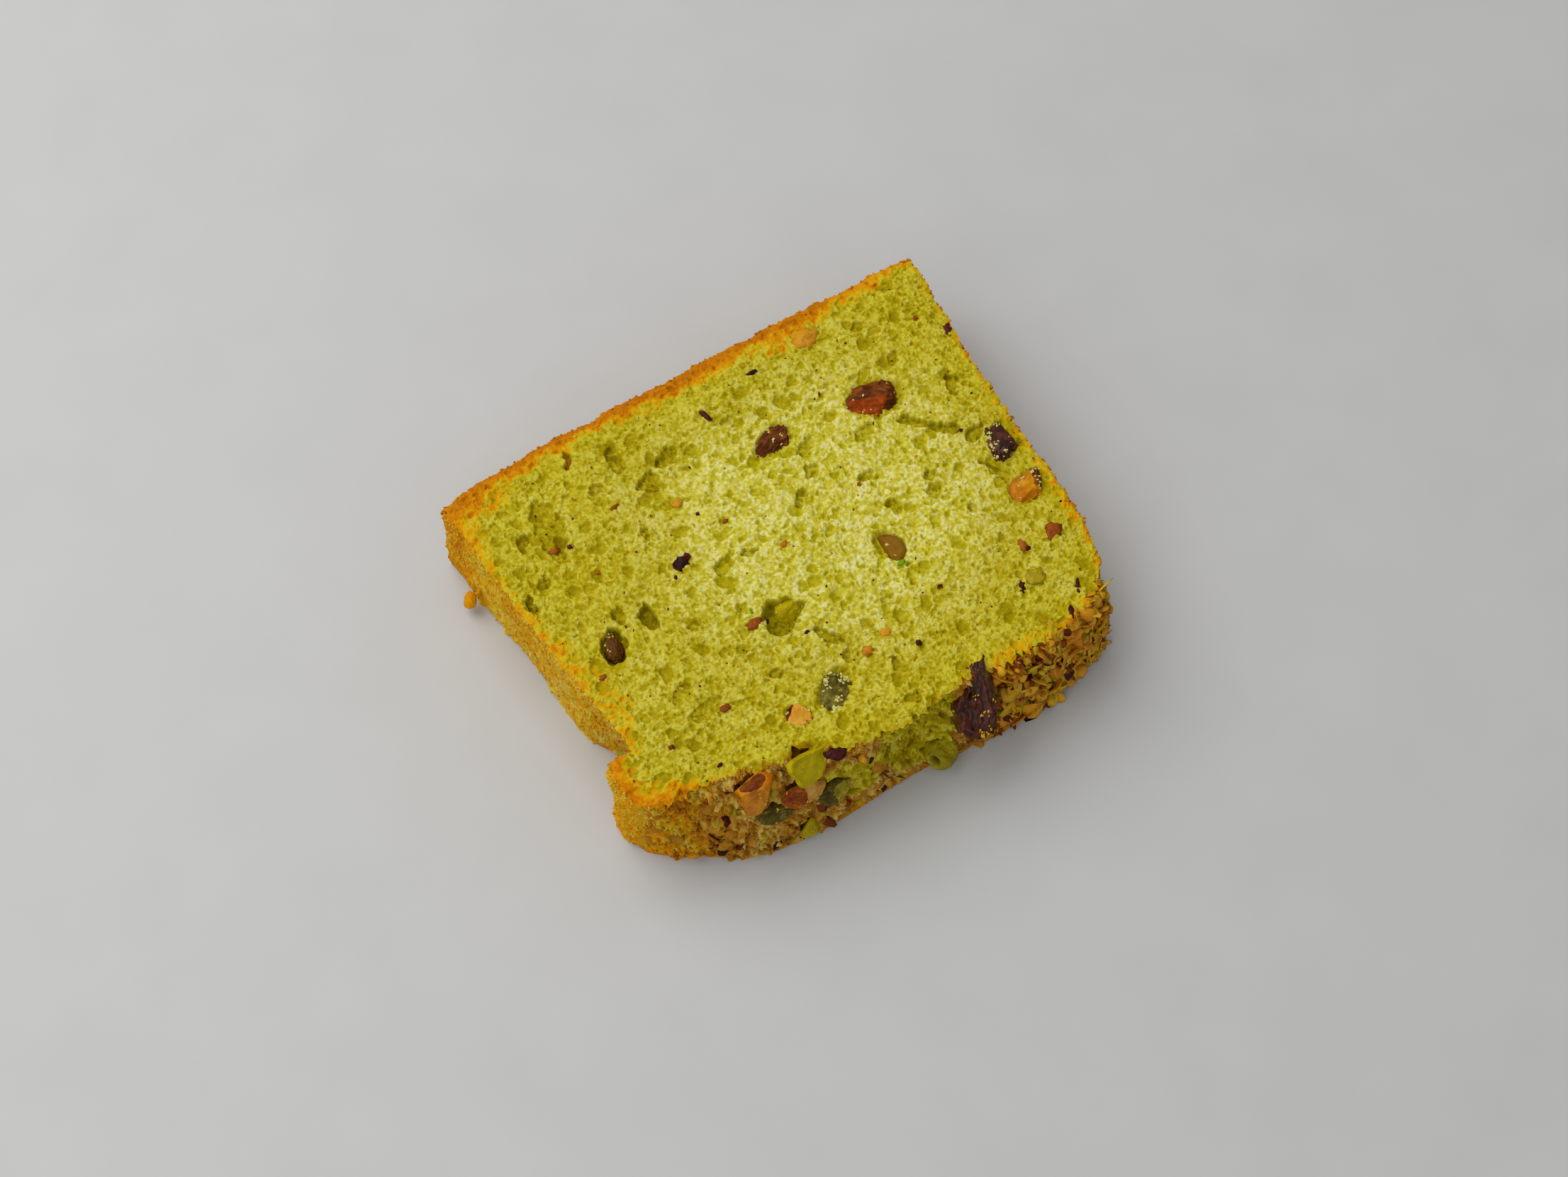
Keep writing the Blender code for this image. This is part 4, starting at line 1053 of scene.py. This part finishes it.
def buildWall(side):
    # the wall's points with heights: the top row takes the cut face's edge, which dies out downwards
    sheet, look = sheets[side], crusts[side]
    lift = gridEdges(facePoints)[side][:, 2] - cake["thickness"]
    height = levels[:, None] + lift[None] * (levels[:, None] / cake["thickness"]) ** 9
    points = np.dstack([sheet["points"], height])
    bottom = points[-1]
    bottom[1::2] = (bottom[:-1:2] + bottom[2::2]) / 2  # every second point on the underside's edge
    x, y = points[..., 0], points[..., 1]
    run = sheet["run"][None]
    blotch = layeredNoise(x, y, height, 4.5, 71)
    fineBlotch = layeredNoise(x, y, height, 1.3, 72)
    uneven = 2.0 if side == "dome" else 1.0
    brown = look["brown"] + uneven * (0.14 * blotch + 0.12 * fineBlotch - 0.10 * sheet["lumps"])
    tan = np.full(x.shape, look["tan"])
    if side == "dome":
        tan = 0.95 * easeStep(-41, -31, x + 4 * blotch) * (1 - 0.35 * easeStep(8, 16, x))
        brown = brown + 0.55 * easeStep(9, 15, x) - 0.10 * easeStep(-40, -30, x)
    if side == "left":
        brown = brown + 0.22 * (1 - easeStep(0, 14, run)) - 0.08 * easeStep(20, 34, run)
        brown = brown + 0.16 * easeStep(50, 54, run)
        pale = easeStep(-0.1, 0.7, layeredNoise(run * 0.4 + height, height * 0.3 - run, 0, 1.5, 73))
        tan = tan + 0.45 * pale * easeStep(14, 24, run) * (1 - easeStep(48, 52, run))
    pit = sheet["pit"]
    # darker along the dome's foot at the floor: painted shade
    if side == "dome":
        pit = np.maximum(pit, 0.65 * (1 - easeStep(0.3, 1.8, height)))
    green = 0.35 + 0.3 * blotch + 1.2 * sheet["torn"]
    brown = np.clip(brown, 0.3, 1.0) * (1 - sheet["torn"])
    sheet["solid"] = points
    flip = outwardSign[side] < 0
    sheet["normals"] = sheetNormals(points, flip)
    wall = makeSheet(
        f"crust_{side}", points, flip, material=crustMaterial, normals=sheet["normals"].reshape(-1, 3),
        values=cakeValues(pit, brown, np.clip(green, 0, 1), np.clip(tan, 0, 1)),
    )
    declare(wall, "cake", "cake_slice")


for side in sheets:
    buildWall(side)


def buildUnderside():
    # the lower cut face: the same blend at height 0, its pores going up into the slice
    plan = facePlan(along[::2], across[::2], 0.0)
    for side, row in gridEdges(plan).items():
        row[:] = sheets[side]["solid"][-1, ::2, :2]
    x, y = plan[..., 0], plan[..., 1]
    inner = np.minimum.reduce(list(edgeDistances(plan).values()))
    relief, pore = crumbRelief(x + 200, y + 200)
    height = (0.12 + pore * 0.9 + 0.05 * np.abs(relief)) * easeStep(0.0, 1.2, inner)
    brown = np.clip(1.1 - inner / 2.2, 0, 1)
    green = np.clip(0.5 * np.exp(-inner / 8) + 0.2 * layeredNoise(x, y, 0, 6, 81), 0, 1)
    # the pores darkened as painted shade
    piece = makeSheet("cut_face_under", np.dstack([x, y, height]), flip=True, material=crumbMaterial,
                      values=cakeValues(pore * 0.8, brown, green, 0.0))
    declare(piece, "cake", "cake_slice")


buildUnderside()
print("slice built")


kernelForm = {
    "around": 112, "rings": 64,
    "narrowing": 0.22,      # how much thinner one end is
    "breakDepth": 0.55,     # how far in a side lies that is broken off whole, as a share of the half size
    "breakPress": 0.88,     # how flat a broken side is pressed
    "facetPress": 0.94,     # and a facet
    "facetRough": 0.07,     # how uneven a facet is
    "lumps": (0.06, 0.8),   # share of the size and wave, on a ball of radius 1
    "folds": (2.2, 0.34),   # sharpness and wave of the skin's folds
    "grain": (0.03, 0.28),  # in mm
    "skinLeft": 0.55,       # how far patches of skin cover the flesh
    "cutPress": 0.05,       # what is left of the height over the knife's cut
}


def buildKernel(name, kernel):
    # a fine surface over the solid's form: a ball by angles with its poles on X, narrowed towards one, or
    # with its plan filled out to its outline as reach * (1 - |z|^3)^(1/3); its broken side is pressed flat
    # and facets are cut at a share of the half size; then lumps and lengthwise wrinkles along its radius
    form = kernelForm
    around, rings = form["around"], form["rings"]
    phi = np.linspace(0, math.pi, rings + 1)[1:-1, None]
    theta = (np.arange(around) * math.tau / around)[None]
    x = np.cos(phi) * np.ones_like(theta)
    y, z = np.sin(phi) * np.cos(theta), np.sin(phi) * np.sin(theta)
    spot = np.stack([x, y, z], axis=2).reshape(-1, 3)
    spot = np.concatenate([spot, [[1, 0, 0], [-1, 0, 0]]])
    outline = kernel.get("outline")
    if outline:
        bearing = np.degrees(np.arctan2(spot[:, 1], spot[:, 0])) % 360
        reach = np.interp(bearing, np.arange(13) * 30.0, [*outline, outline[0]])
        full = np.clip(1 - np.abs(spot[:, 2]) ** 3, 0, 1) ** (1 / 3)
        spot[:, :2] *= (reach * full / np.maximum(np.hypot(spot[:, 0], spot[:, 1]), 1e-6))[:, None]
    else:
        spot[:, 1:] *= (1 - form["narrowing"] * spot[:, :1])
    seed = int(abs(kernel["middle"][0]) * 10)
    rough = layeredNoise(*(spot.T * 3 + seed), 1.0, 91)
    flat = 1 - kernel["broken"] * form["breakDepth"]
    past = np.maximum(spot[:, 1] - flat, 0)
    spot[:, 1] -= past * form["breakPress"]
    flesh = np.maximum(kernel["bare"], 0.7 * easeStep(0.0, 0.12, past))
    for direction, offset, bare in kernel["facets"]:
        direction = np.array(direction) / np.linalg.norm(direction)
        past = np.maximum(spot @ direction - offset - form["facetRough"] * rough, 0)
        spot -= past[:, None] * direction * form["facetPress"]
        flesh = flesh + (bare - flesh) * easeStep(0.0, 0.05, past)
    (lumpSize, lumpWave), (foldSharp, foldWave) = form["lumps"], form["folds"]
    lumps = 1 + lumpSize * layeredNoise(*(spot.T + seed), lumpWave, 92)
    folds = layeredNoise(spot[:, 0] * 0.5 + seed, spot[:, 1] * 1.6, spot[:, 2] * 1.6, foldWave, 93)
    folds = 1 - np.abs(folds) * foldSharp
    sizes = np.array(kernel["half"]) * kernel.get("grow", 1.0)
    flesh = np.clip(flesh, 0, 1)
    depth = kernel["wrinkle"] * np.clip(folds, -0.5, 1) * (1 - 0.6 * flesh)
    grain = form["grain"][0] * softNoise(*(spot.T * sizes[:, None]), form["grain"][1], 94)
    radius = np.linalg.norm(spot, axis=1, keepdims=True)
    local = spot * lumps[:, None] * sizes - spot / radius * (depth - grain)[:, None]
    # painted shade in the skin's folds
    creaseShade = np.clip(folds, 0, 1) * (1 - flesh) * 0.8
    patch = layeredNoise(*(spot.T + seed), 0.9, 95)
    skinned = form["skinLeft"] if kernel["bare"] < 1.0 else 0.0
    mask = np.clip(flesh - skinned * easeStep(0.2, 0.5, patch + 0.3 * spot[:, 0]), 0, 1)
    hollow = kernel.get("hollow")
    if hollow:
        way = np.array(hollow[0]) / np.linalg.norm(hollow[0])
        inside = np.exp(-(np.linalg.norm(spot / radius - way, axis=1) / hollow[1]) ** 4)
        local = local - spot / radius * (hollow[2] * inside)[:, None]
        # painted shade in the dent
        creaseShade = np.maximum(creaseShade, 1.3 * inside)
    turn = turnMatrix((0, kernel.get("lean", 0), 0)) @ turnMatrix(kernel["turn"])
    placed = local @ turn.T + np.array(kernel["middle"]) + np.array(kernel.get("lift", (0, 0, 0)))
    placed[:, 2] = np.maximum(placed[:, 2], 0.02)
    top = kernel.get("top")
    if top:
        over = np.maximum(placed[:, 2] - top, 0)
        placed[:, 2] = np.where(over > 0, top + over * form["cutPress"], placed[:, 2])
    piece = makePiece(name.replace("kernel", "nut"), placed, *ballFaces(around, rings),
                      {"flesh": mask, "pit": creaseShade}, nutMaterials[kernel["look"]])
    return declare(piece, kernel.get("slot", kernelSlots[kernel["look"]]), name)


kernelPieces = {name: buildKernel(name, kernel) for name, kernel in kernels.items()}
print("kernels built")


def pebbleForm(around=8, rings=4):
    # a ball of few faces, poles on Z
    phi = (np.arange(1, rings) * math.pi / rings)[:, None]
    theta = (np.arange(around) * math.tau / around)[None] + phi * 0.7
    level = np.cos(phi) * np.ones_like(theta)
    ball = np.stack([np.sin(phi) * np.cos(theta), np.sin(phi) * np.sin(theta), level], axis=2)
    points = np.concatenate([ball.reshape(-1, 3), [[0, 0, 1], [0, 0, -1]]])
    return points, *ballFaces(around, rings)


def basesOn(normals, tilt, draw):
    # three directions for each copy: up along the normal leaned at random, and two square to it
    up = normals + draw.normal(size=normals.shape) * tilt
    up /= np.linalg.norm(up, axis=1, keepdims=True)
    side = np.cross(up, draw.normal(size=normals.shape))
    side /= np.linalg.norm(side, axis=1, keepdims=True)
    return np.stack([side, np.cross(up, side), up], axis=2)


def scatter(name, form, places, bases, sizes, tones, draw, material, values=None, jag=0.22, bend=0.0):
    # copies of the form: form * (1 + jag * draw) * sizes, bent by bend * x^2, turned by the bases
    points, quads, caps = form
    count, each = len(places), len(points)
    local = points[None] * (1 + jag * draw.uniform(-1, 1, (count, each, 1))) * sizes[:, None]
    curl = draw.uniform(-bend, bend, (count, 1))
    local[..., 2] += curl * (local[..., 0] ** 2 / sizes[:, None, 0] - 0.3 * sizes[:, None, 0])
    world = np.einsum("nij,nkj->nki", bases, local) + places[:, None]
    world[..., 2] = np.maximum(world[..., 2], 0.02)  # nothing goes under the foot
    offsets = (np.arange(count) * each)[:, None, None]
    attributes = {"tone": np.repeat(tones, each)}
    for key, value in (values or {}).items():
        attributes[key] = np.repeat(np.broadcast_to(value, count), each)
    piece = makePiece(name, world.reshape(-1, 3), (quads[None] + offsets).reshape(-1, 4),
                      (caps[None] + offsets).reshape(-1, 3), attributes, material)
    declare(piece, "cake", "cake_slice")


def scatterGrains(name, places, normals, sizes, draw, material, values):
    # small granules in a cake material, leaned well away from the surface's normal
    bases = basesOn(normals, 0.8, draw)
    scatter(name, grainForm, places, bases, sizes, draw.random(len(places)), draw, material, values)


def pickOn(points, normals, weight, count, draw):
    # places on a sheet by a weight at each of its points
    chance = np.clip(weight, 0, None).ravel()
    chosen = draw.choice(chance.size, count, p=chance / chance.sum())
    return points.reshape(-1, 3)[chosen], normals.reshape(-1, 3)[chosen], chosen


pebble, grainForm, largeForm = pebbleForm(), pebbleForm(6, 3), pebbleForm(14, 9)
dome = sheets["dome"]

# bits on the dome: how many, their share on its left against its right, half sizes, tones, lean of their
# upright, how deep they sit as a share of their height, and how far their ends bend
domeBits = {
    "chopped_flakes": dict(count=240, left=0.01, small=(1.0, 0.7, 0.12), large=(2.9, 1.7, 0.24),
                           tones=(0.38, 0.75), seed=101, tilt=0.22, sink=0.3, bend=0.45),
    "chopped_chunks": dict(count=190, left=0.02, small=(0.5, 0.4, 0.3), large=(1.4, 1.0, 0.8),
                           tones=(0.22, 0.76), seed=102, tilt=0.6, sink=0.42, bend=0.0),
    "chopped_greens": dict(count=100, left=0.05, small=(0.4, 0.3, 0.25), large=(1.1, 0.8, 0.5),
                           tones=(0.74, 0.96), seed=103, tilt=0.5, sink=0.4, bend=0.0),
    "chopped_skins": dict(count=210, left=0.10, small=(0.45, 0.25, 0.07), large=(1.5, 0.8, 0.15),
                          tones=(0.0, 0.22), seed=104, tilt=0.4, sink=0.1, bend=0.6),
}


def domeWeight(left):
    # where on the dome the bits lie: few on its left, none on the torn patch, many on its right
    x, height = dome["solid"][..., 0], dome["solid"][..., 2]
    inside = easeStep(0.2, 1.4, height) * (1 - easeStep(16.8, 17.7, height))
    share = left + (1.0 - left) * easeStep(11, 16, x)
    return inside * share * (1 - dome["torn"]) * easeStep(-43, -38, x)


def scatterOnDome(name, bits):
    # one kind of bit on the dome, raised along the normal by its height * (1 - 2 * sink)
    draw = np.random.default_rng(bits["seed"])
    places, normals, _ = pickOn(dome["solid"], dome["normals"], domeWeight(bits["left"]), bits["count"], draw)
    keep = np.ones(len(places), bool)  # those that aren't in front of a kernel
    for kernel in kernels.values():
        keep &= np.linalg.norm(places - np.array(kernel["middle"]), axis=1) > np.mean(kernel["half"]) * 0.95
    places, normals = places[keep], normals[keep]
    sizes = draw.uniform(bits["small"], bits["large"], (len(places), 3))
    bases = basesOn(normals, bits["tilt"], draw)
    places = places + normals * (sizes[:, 2:] * (1 - 2 * bits["sink"]))
    tones = draw.uniform(*bits["tones"], len(places))
    scatter(name, pebble, places, bases, sizes, tones, draw, choppedNut, jag=0.25, bend=bits["bend"])


for name, bits in domeBits.items():
    scatterOnDome(name, bits)


def solidBits():
    # the larger bits, at the places and sizes that the solid gives them
    draw = random.Random(41)
    found = []
    while len(found) < 46:  # as many as on the solid
        share, height, reach = draw.random(), draw.uniform(2.2, 17.0), draw.uniform(0.75, 1.75)
        x, y = wallPlan("dome", np.array([share]), height)[0, 0]
        if draw.random() > (0.35 if x < 12.0 else 1.0) or abs(x + 1.5) < 7.0:
            continue
        spot = np.array([x, y - 0.15, height])
        apart = all(np.linalg.norm(spot - other) > (reach + size) * 0.95 for other, size in found)
        clear = all(
            np.linalg.norm(spot - kernel["middle"]) >= max(kernel["half"]) + reach + 0.9
            for kernel in kernels.values()
        )
        if apart and clear:
            found.append((spot, reach))
    return found


def buildSolidBits():
    # bare chopped nut on the dome's right, under crust on its left
    draw = np.random.default_rng(17)
    found = solidBits()
    places = np.array([spot for spot, _ in found])
    reach = np.array([size for _, size in found])[:, None]
    wide, thick = draw.uniform(0.6, 0.9, reach.shape), draw.uniform(0.35, 0.6, reach.shape)
    sizes = reach * np.concatenate([np.ones_like(reach), wide, thick], axis=1)
    bases = basesOn(np.tile([0.0, -1.0, 0.25], (len(places), 1)), 0.35, draw)
    tones = draw.choice([0.1, 0.34, 0.5, 0.62, 0.7, 0.8, 0.86], len(places))
    tones = tones + draw.uniform(-0.04, 0.04, len(places))
    bare = places[:, 0] > 5.0
    for name, kept, move, material, values, bend in (
        ("chopped_large", bare, 0.0, choppedNut, None, 0.3),
        ("chopped_crusted", ~bare, 0.5, crustMaterial, cakeValues(0.1, 0.62, 0.2, 0.8), 0.0),
    ):
        scatter(name, largeForm, places[kept] + [0.0, move, 0.0], bases[kept], sizes[kept], tones[kept], draw,
                material, values, jag=0.13, bend=bend)


buildSolidBits()

# bits on the cut face: x, y, size along, across and up, turn in degrees, tone
faceBits = [
    (-17.8, 7.0, 1.5, 1.15, 0.9, 10, 0.02), (-16.6, 7.5, 0.7, 0.6, 0.6, 60, 0.12),
    (24.3, -25.4, 1.0, 0.5, 0.35, 60, 0.06), (27.2, -25.0, 1.6, 1.3, 0.4, 30, 0.82),
    (28.6, -19.5, 1.1, 0.7, 0.5, 80, 0.34), (28.9, -20.4, 0.5, 0.4, 0.3, 0, 0.08),
    (34.2, -19.9, 1.7, 1.2, 0.5, 20, 0.3), (10.3, 30.6, 1.0, 0.4, 0.35, 0, 0.03),
    (-23.2, 32.6, 1.5, 0.6, 0.4, 75, 0.36), (21.4, 31.8, 2.3, 1.7, 0.8, 20, 0.52),
    (-2.0, -21.6, 1.0, 0.7, 0.4, 0, 0.46), (-14.2, -8.4, 1.3, 0.8, 0.35, 10, 0.3),
    (-11.9, -8.3, 0.6, 0.25, 0.3, 20, 0.02), (-13.4, -6.2, 0.5, 0.22, 0.25, 80, 1.0),
    (10.9, -11.6, 0.75, 0.5, 0.3, 0, 1.0), (11.6, -12.1, 0.5, 0.35, 0.3, 40, 0.98),
    (28.2, -33.0, 1.2, 0.4, 0.3, 60, 0.05), (-15.6, -33.2, 1.7, 1.0, 0.35, -20, 0.06),
    (-0.4, 27.8, 1.3, 0.45, 0.3, -75, 0.08), (-33.4, 20.0, 0.9, 0.7, 0.3, 10, 0.34),
    (-31.0, 19.0, 0.5, 0.4, 0.3, 0, 0.12), (-21.5, 21.2, 0.8, 0.35, 0.25, 10, 0.3),
    (-8.0, 9.6, 0.5, 0.4, 0.3, 0, 0.3), (-11.0, 13.2, 0.35, 0.3, 0.25, 0, 0.1),
    (-35.8, -19.2, 0.5, 0.4, 0.3, 0, 0.2), (-31.2, -25.4, 0.5, 0.3, 0.25, 20, 0.05),
    (-25.6, -18.0, 0.8, 0.6, 0.3, 0, 0.28), (-8.2, -14.0, 0.45, 0.3, 0.25, 0, 0.04),
    (13.6, -18.5, 0.5, 0.35, 0.25, 0, 0.1), (1.9, -20.6, 0.9, 0.7, 0.3, 0, 0.52),
    (5.2, -24.9, 0.5, 0.5, 0.25, 0, 0.05), (31.6, -30.0, 1.5, 0.4, 0.3, 60, 0.06),
    (-38.4, -3.4, 0.6, 0.5, 0.3, 0, 0.3), (17.3, 21.4, 0.5, 0.2, 0.25, 60, 0.2),
    (32.6, 3.2, 0.5, 0.3, 0.3, 0, 0.08), (-12.8, 16.6, 0.9, 0.7, 0.3, 0, 0.52),
    (13.4, 3.7, 0.5, 0.3, 0.25, 0, 0.26), (-19.9, 5.4, 0.4, 0.3, 0.25, 70, 0.08),
    (-2.6, 1.0, 0.7, 0.5, 0.3, 0, 0.4), (42.0, 20.6, 1.1, 0.8, 0.4, 60, 0.12),
    (38.6, 25.0, 0.5, 0.4, 0.3, 0, 0.3), (-29.6, 12.8, 0.5, 0.35, 0.3, 0, 0.36),
]


def buildFaceBits():
    # each bit sits at the height of the cut face's point nearest to it
    draw = np.random.default_rng(7)
    table = np.array(faceBits)
    sizes = table[:, 2:5]
    nearest = [np.argmin((faceX - x) ** 2 + (faceY - y) ** 2) for x, y in table[:, :2]]
    places = np.column_stack([table[:, :2], faceZ.ravel()[nearest] - sizes[:, 2] * 0.05])
    bases = np.stack([turnMatrix((0, 0, turn)) for turn in table[:, 5]])
    scatter("cut_face_bits", largeForm, places, bases, sizes, table[:, 6], draw, choppedNut, jag=0.32)


buildFaceBits()


def buildSpecks():
    # pin-point flecks of skin and toasted nut all over the cut face
    draw = np.random.default_rng(8)
    places, normals, _ = pickOn(facePoints, faceNormals, np.ones_like(faceX), 130, draw)
    count = len(places)
    sizes = draw.uniform((0.12, 0.1, 0.08), (0.32, 0.22, 0.16), (count, 3))
    isSkin = draw.random(count) < 0.6
    tones = np.where(isSkin, draw.uniform(0.02, 0.2, count), draw.uniform(0.3, 0.5, count))
    scatter("cut_face_specks", pebble, places, basesOn(normals, 0.5, draw), sizes, tones, draw, choppedNut)


buildSpecks()


def buildFaceGrains():
    # loose granules on the ridges of the crumb, in the crumb's own colour
    draw = np.random.default_rng(9)
    ridge = np.clip(1 - facePitShade * 3, 0, 1) * (0.5 + 0.5 * softNoise(faceX, faceY, 0, 1.1, 19))
    places, normals, chosen = pickOn(facePoints, faceNormals, ridge, 900, draw)
    sizes = draw.uniform((0.12, 0.1, 0.08), (0.30, 0.24, 0.2), (len(places), 3))
    values = cakeValues(0.0, faceBrown.ravel()[chosen], faceGreen.ravel()[chosen] * 0.6, 0.0)
    scatterGrains("crumb_grains", places, normals, sizes, draw, crumbMaterial, values)


buildFaceGrains()


def buildCrustGrains():
    # crusty granules standing out from the walls and along the rim
    draw = np.random.default_rng(10)
    groups = []
    for side, count in (("rear", 1900), ("left", 1500), ("right", 1300), ("dome", 2300)):
        sheet, look = sheets[side], crusts[side]
        height = sheet["solid"][..., 2]
        weight = (1 - sheet["torn"]) * (0.35 + 0.65 * easeStep(14, 17.6, height)) * easeStep(0.2, 1.0, height)
        places, normals, _ = pickOn(sheet["solid"], sheet["normals"], weight, count, draw)
        groups.append((places, normals, np.full(count, look["tan"] * 0.8), np.full(count, look["brown"])))
    places, normals, tan, brown = (np.concatenate(columns) for columns in zip(*groups))
    sizes = draw.uniform((0.14, 0.12, 0.1), (0.42, 0.32, 0.26), (len(places), 3))
    brown = brown + draw.uniform(-0.14, 0.14, len(places))
    values = cakeValues(0.0, brown, 0.2, tan)
    scatterGrains("crust_grains", places, normals, sizes, draw, crustMaterial, values)


buildCrustGrains()


def buildDust():
    # crumbs stuck to the kernels, on the upper or outer side: a kernel's dust is their number in sixties
    # on the cut face and in twenty-sixes on the dome
    draw = np.random.default_rng(11)
    groups = []
    for name, kernel in kernels.items():
        mesh = kernelPieces[name].data
        points, normals = np.empty(len(mesh.vertices) * 3), np.empty(len(mesh.vertices) * 3)
        mesh.vertices.foreach_get("co", points)
        mesh.vertices.foreach_get("normal", normals)
        points, normals = points.reshape(-1, 3) / mm, normals.reshape(-1, 3)
        onDome = kernel["middle"][1] < domeKernelY
        facing = normals @ np.array([0.0, -0.8, 0.6] if onDome else [0.0, 0.0, 1.0])
        clumps = easeStep(-0.1, 0.6, layeredNoise(*points.T, 1.3, 96))
        count = int(kernel["dust"] * (26 if onDome else 60))
        places, outward, _ = pickOn(points, normals, np.clip(facing, 0, 1) * clumps + 1e-6, count, draw)
        groups.append((places, outward, np.full(count, 0.4 if onDome else 0.0)))
    places, outward, brown = (np.concatenate(columns) for columns in zip(*groups))
    sizes = draw.uniform((0.12, 0.1, 0.08), (0.36, 0.3, 0.24), (len(places), 3))
    values = cakeValues(0.0, brown, 0.15, 0.0)
    scatterGrains("kernel_dust", places, outward, sizes, draw, crumbMaterial, values)


buildDust()
print("scatter built")


def buildThreadCrumb():
    # the crumb that hangs by a thread from the foot of the left wall: rings carried along a line, thin at
    # the wall as 0.42 * (1 - t)^0.5, swelling to a drop as sin^0.7, and closed at its end
    along, around = 40, 32
    t = np.linspace(0, 1, along)[:, None]
    theta = (np.arange(around) * math.tau / around)[None]
    radius = 0.42 * (1 - t) ** 0.5 + 1.0 * np.sin(np.clip((t - 0.35) / 0.65, 0, 1) * math.pi) ** 0.7
    radius = np.where(t >= 1.0, 0.0, radius)
    centre = np.array([-43.9, 27.7, 3.6]) + t[..., None] * np.array([-3.6, -0.3, -1.9])
    points = centre + np.stack([0 * theta + 0 * t, np.cos(theta) * radius, np.sin(theta) * radius], axis=2)
    noise = layeredNoise(points[..., 0], points[..., 1], points[..., 2], 0.8, 97)
    points = points + (points - centre) * 0.35 * noise[..., None]
    index = np.arange(along * around).reshape(along, around)
    right = np.roll(index, -1, axis=1)
    quads = np.stack([index[:-1], right[:-1], right[1:], index[1:]], axis=2).reshape(-1, 4)
    piece = makePiece("thread_crumb", points.reshape(-1, 3), quads, material=crustMaterial,
                      values=cakeValues(0.0, 0.6, 0.2, 0.0))
    declare(piece, "cake", "cake_slice")


buildThreadCrumb()


def buildFloor():
    # one wide sheet just under the slice, with a faint mottle
    side = np.array([-3000.0, 3000.0])
    x, y = np.meshgrid(side, side[::-1])
    material, tree, shader = startMaterial("paleFloor")
    mottled = rampNode(tree, noiseNode(tree, 60.0, 3.0), [(0.3, (194, 195, 195)), (0.7, (197, 198, 198))])
    tree.links.new(mottled, shader.inputs["Base Color"])
    shader.inputs["Roughness"].default_value = 0.5
    floor = makeSheet("floor", np.dstack([x, y, np.full_like(x, -0.02)]), material=material)


buildFloor()

lights = {
    "key": dict(place=(-0.25, 0.52, 0.75), power=5.8, size=0.9, colour=(1.0, 0.985, 0.96)),
    "fill": dict(place=(-0.75, -0.35, 0.60), power=2.2, size=0.9, colour=(0.96, 0.98, 1.0)),
}
for name, light in lights.items():
    lamp = bpy.data.lights.new(name, "AREA")
    lamp.energy, lamp.size, lamp.color = light["power"], light["size"], light["colour"]
    holder = bpy.data.objects.new(name, lamp)
    holder.location = light["place"]
    aim = -np.array(light["place"])
    flat = math.hypot(aim[0], aim[1])
    holder.rotation_euler = (math.atan2(flat, -aim[2]), 0, math.atan2(aim[1], aim[0]) - math.pi / 2)
    scene.collection.objects.link(holder)

world = bpy.data.worlds.new("softRoom")
world.use_nodes = True
world.node_tree.nodes["Background"].inputs["Color"].default_value = (1.0, 0.99, 0.97, 1.0)
world.node_tree.nodes["Background"].inputs["Strength"].default_value = 0.40
scene.world = world
scene.view_settings.view_transform = "Standard"

view = dict(place=(-104.5, -159.9, 357.1), azimuth=-32.3, elevation=61.7, roll=-0.7, lens=56.96)


def buildCamera():
    # rows of the turn: right, up and back of the view, from its azimuth, elevation and roll
    a, e, r = (math.radians(view[key]) for key in ("azimuth", "elevation", "roll"))
    back = np.array([math.sin(a) * math.cos(e), -math.cos(a) * math.cos(e), math.sin(e)])
    level = np.array([math.cos(a), math.sin(a), 0])
    rise = np.cross(back, level)
    right = math.cos(r) * level + math.sin(r) * rise
    up = -math.sin(r) * level + math.cos(r) * rise
    data = bpy.data.cameras.new("photoView")
    data.lens, data.sensor_width, data.sensor_fit = view["lens"], 36.0, "HORIZONTAL"
    data.clip_start, data.clip_end = 0.01, 20
    camera = bpy.data.objects.new("photoView", data)
    matrix = np.eye(4)
    matrix[:3, :3] = np.column_stack([right, up, back])
    matrix[:3, 3] = np.array(view["place"]) * mm
    camera.matrix_world = Matrix(matrix.tolist())
    scene.collection.objects.link(camera)
    scene.camera = camera


buildCamera()
print("floor, lights and camera ready")

bpy.context.view_layer.update()
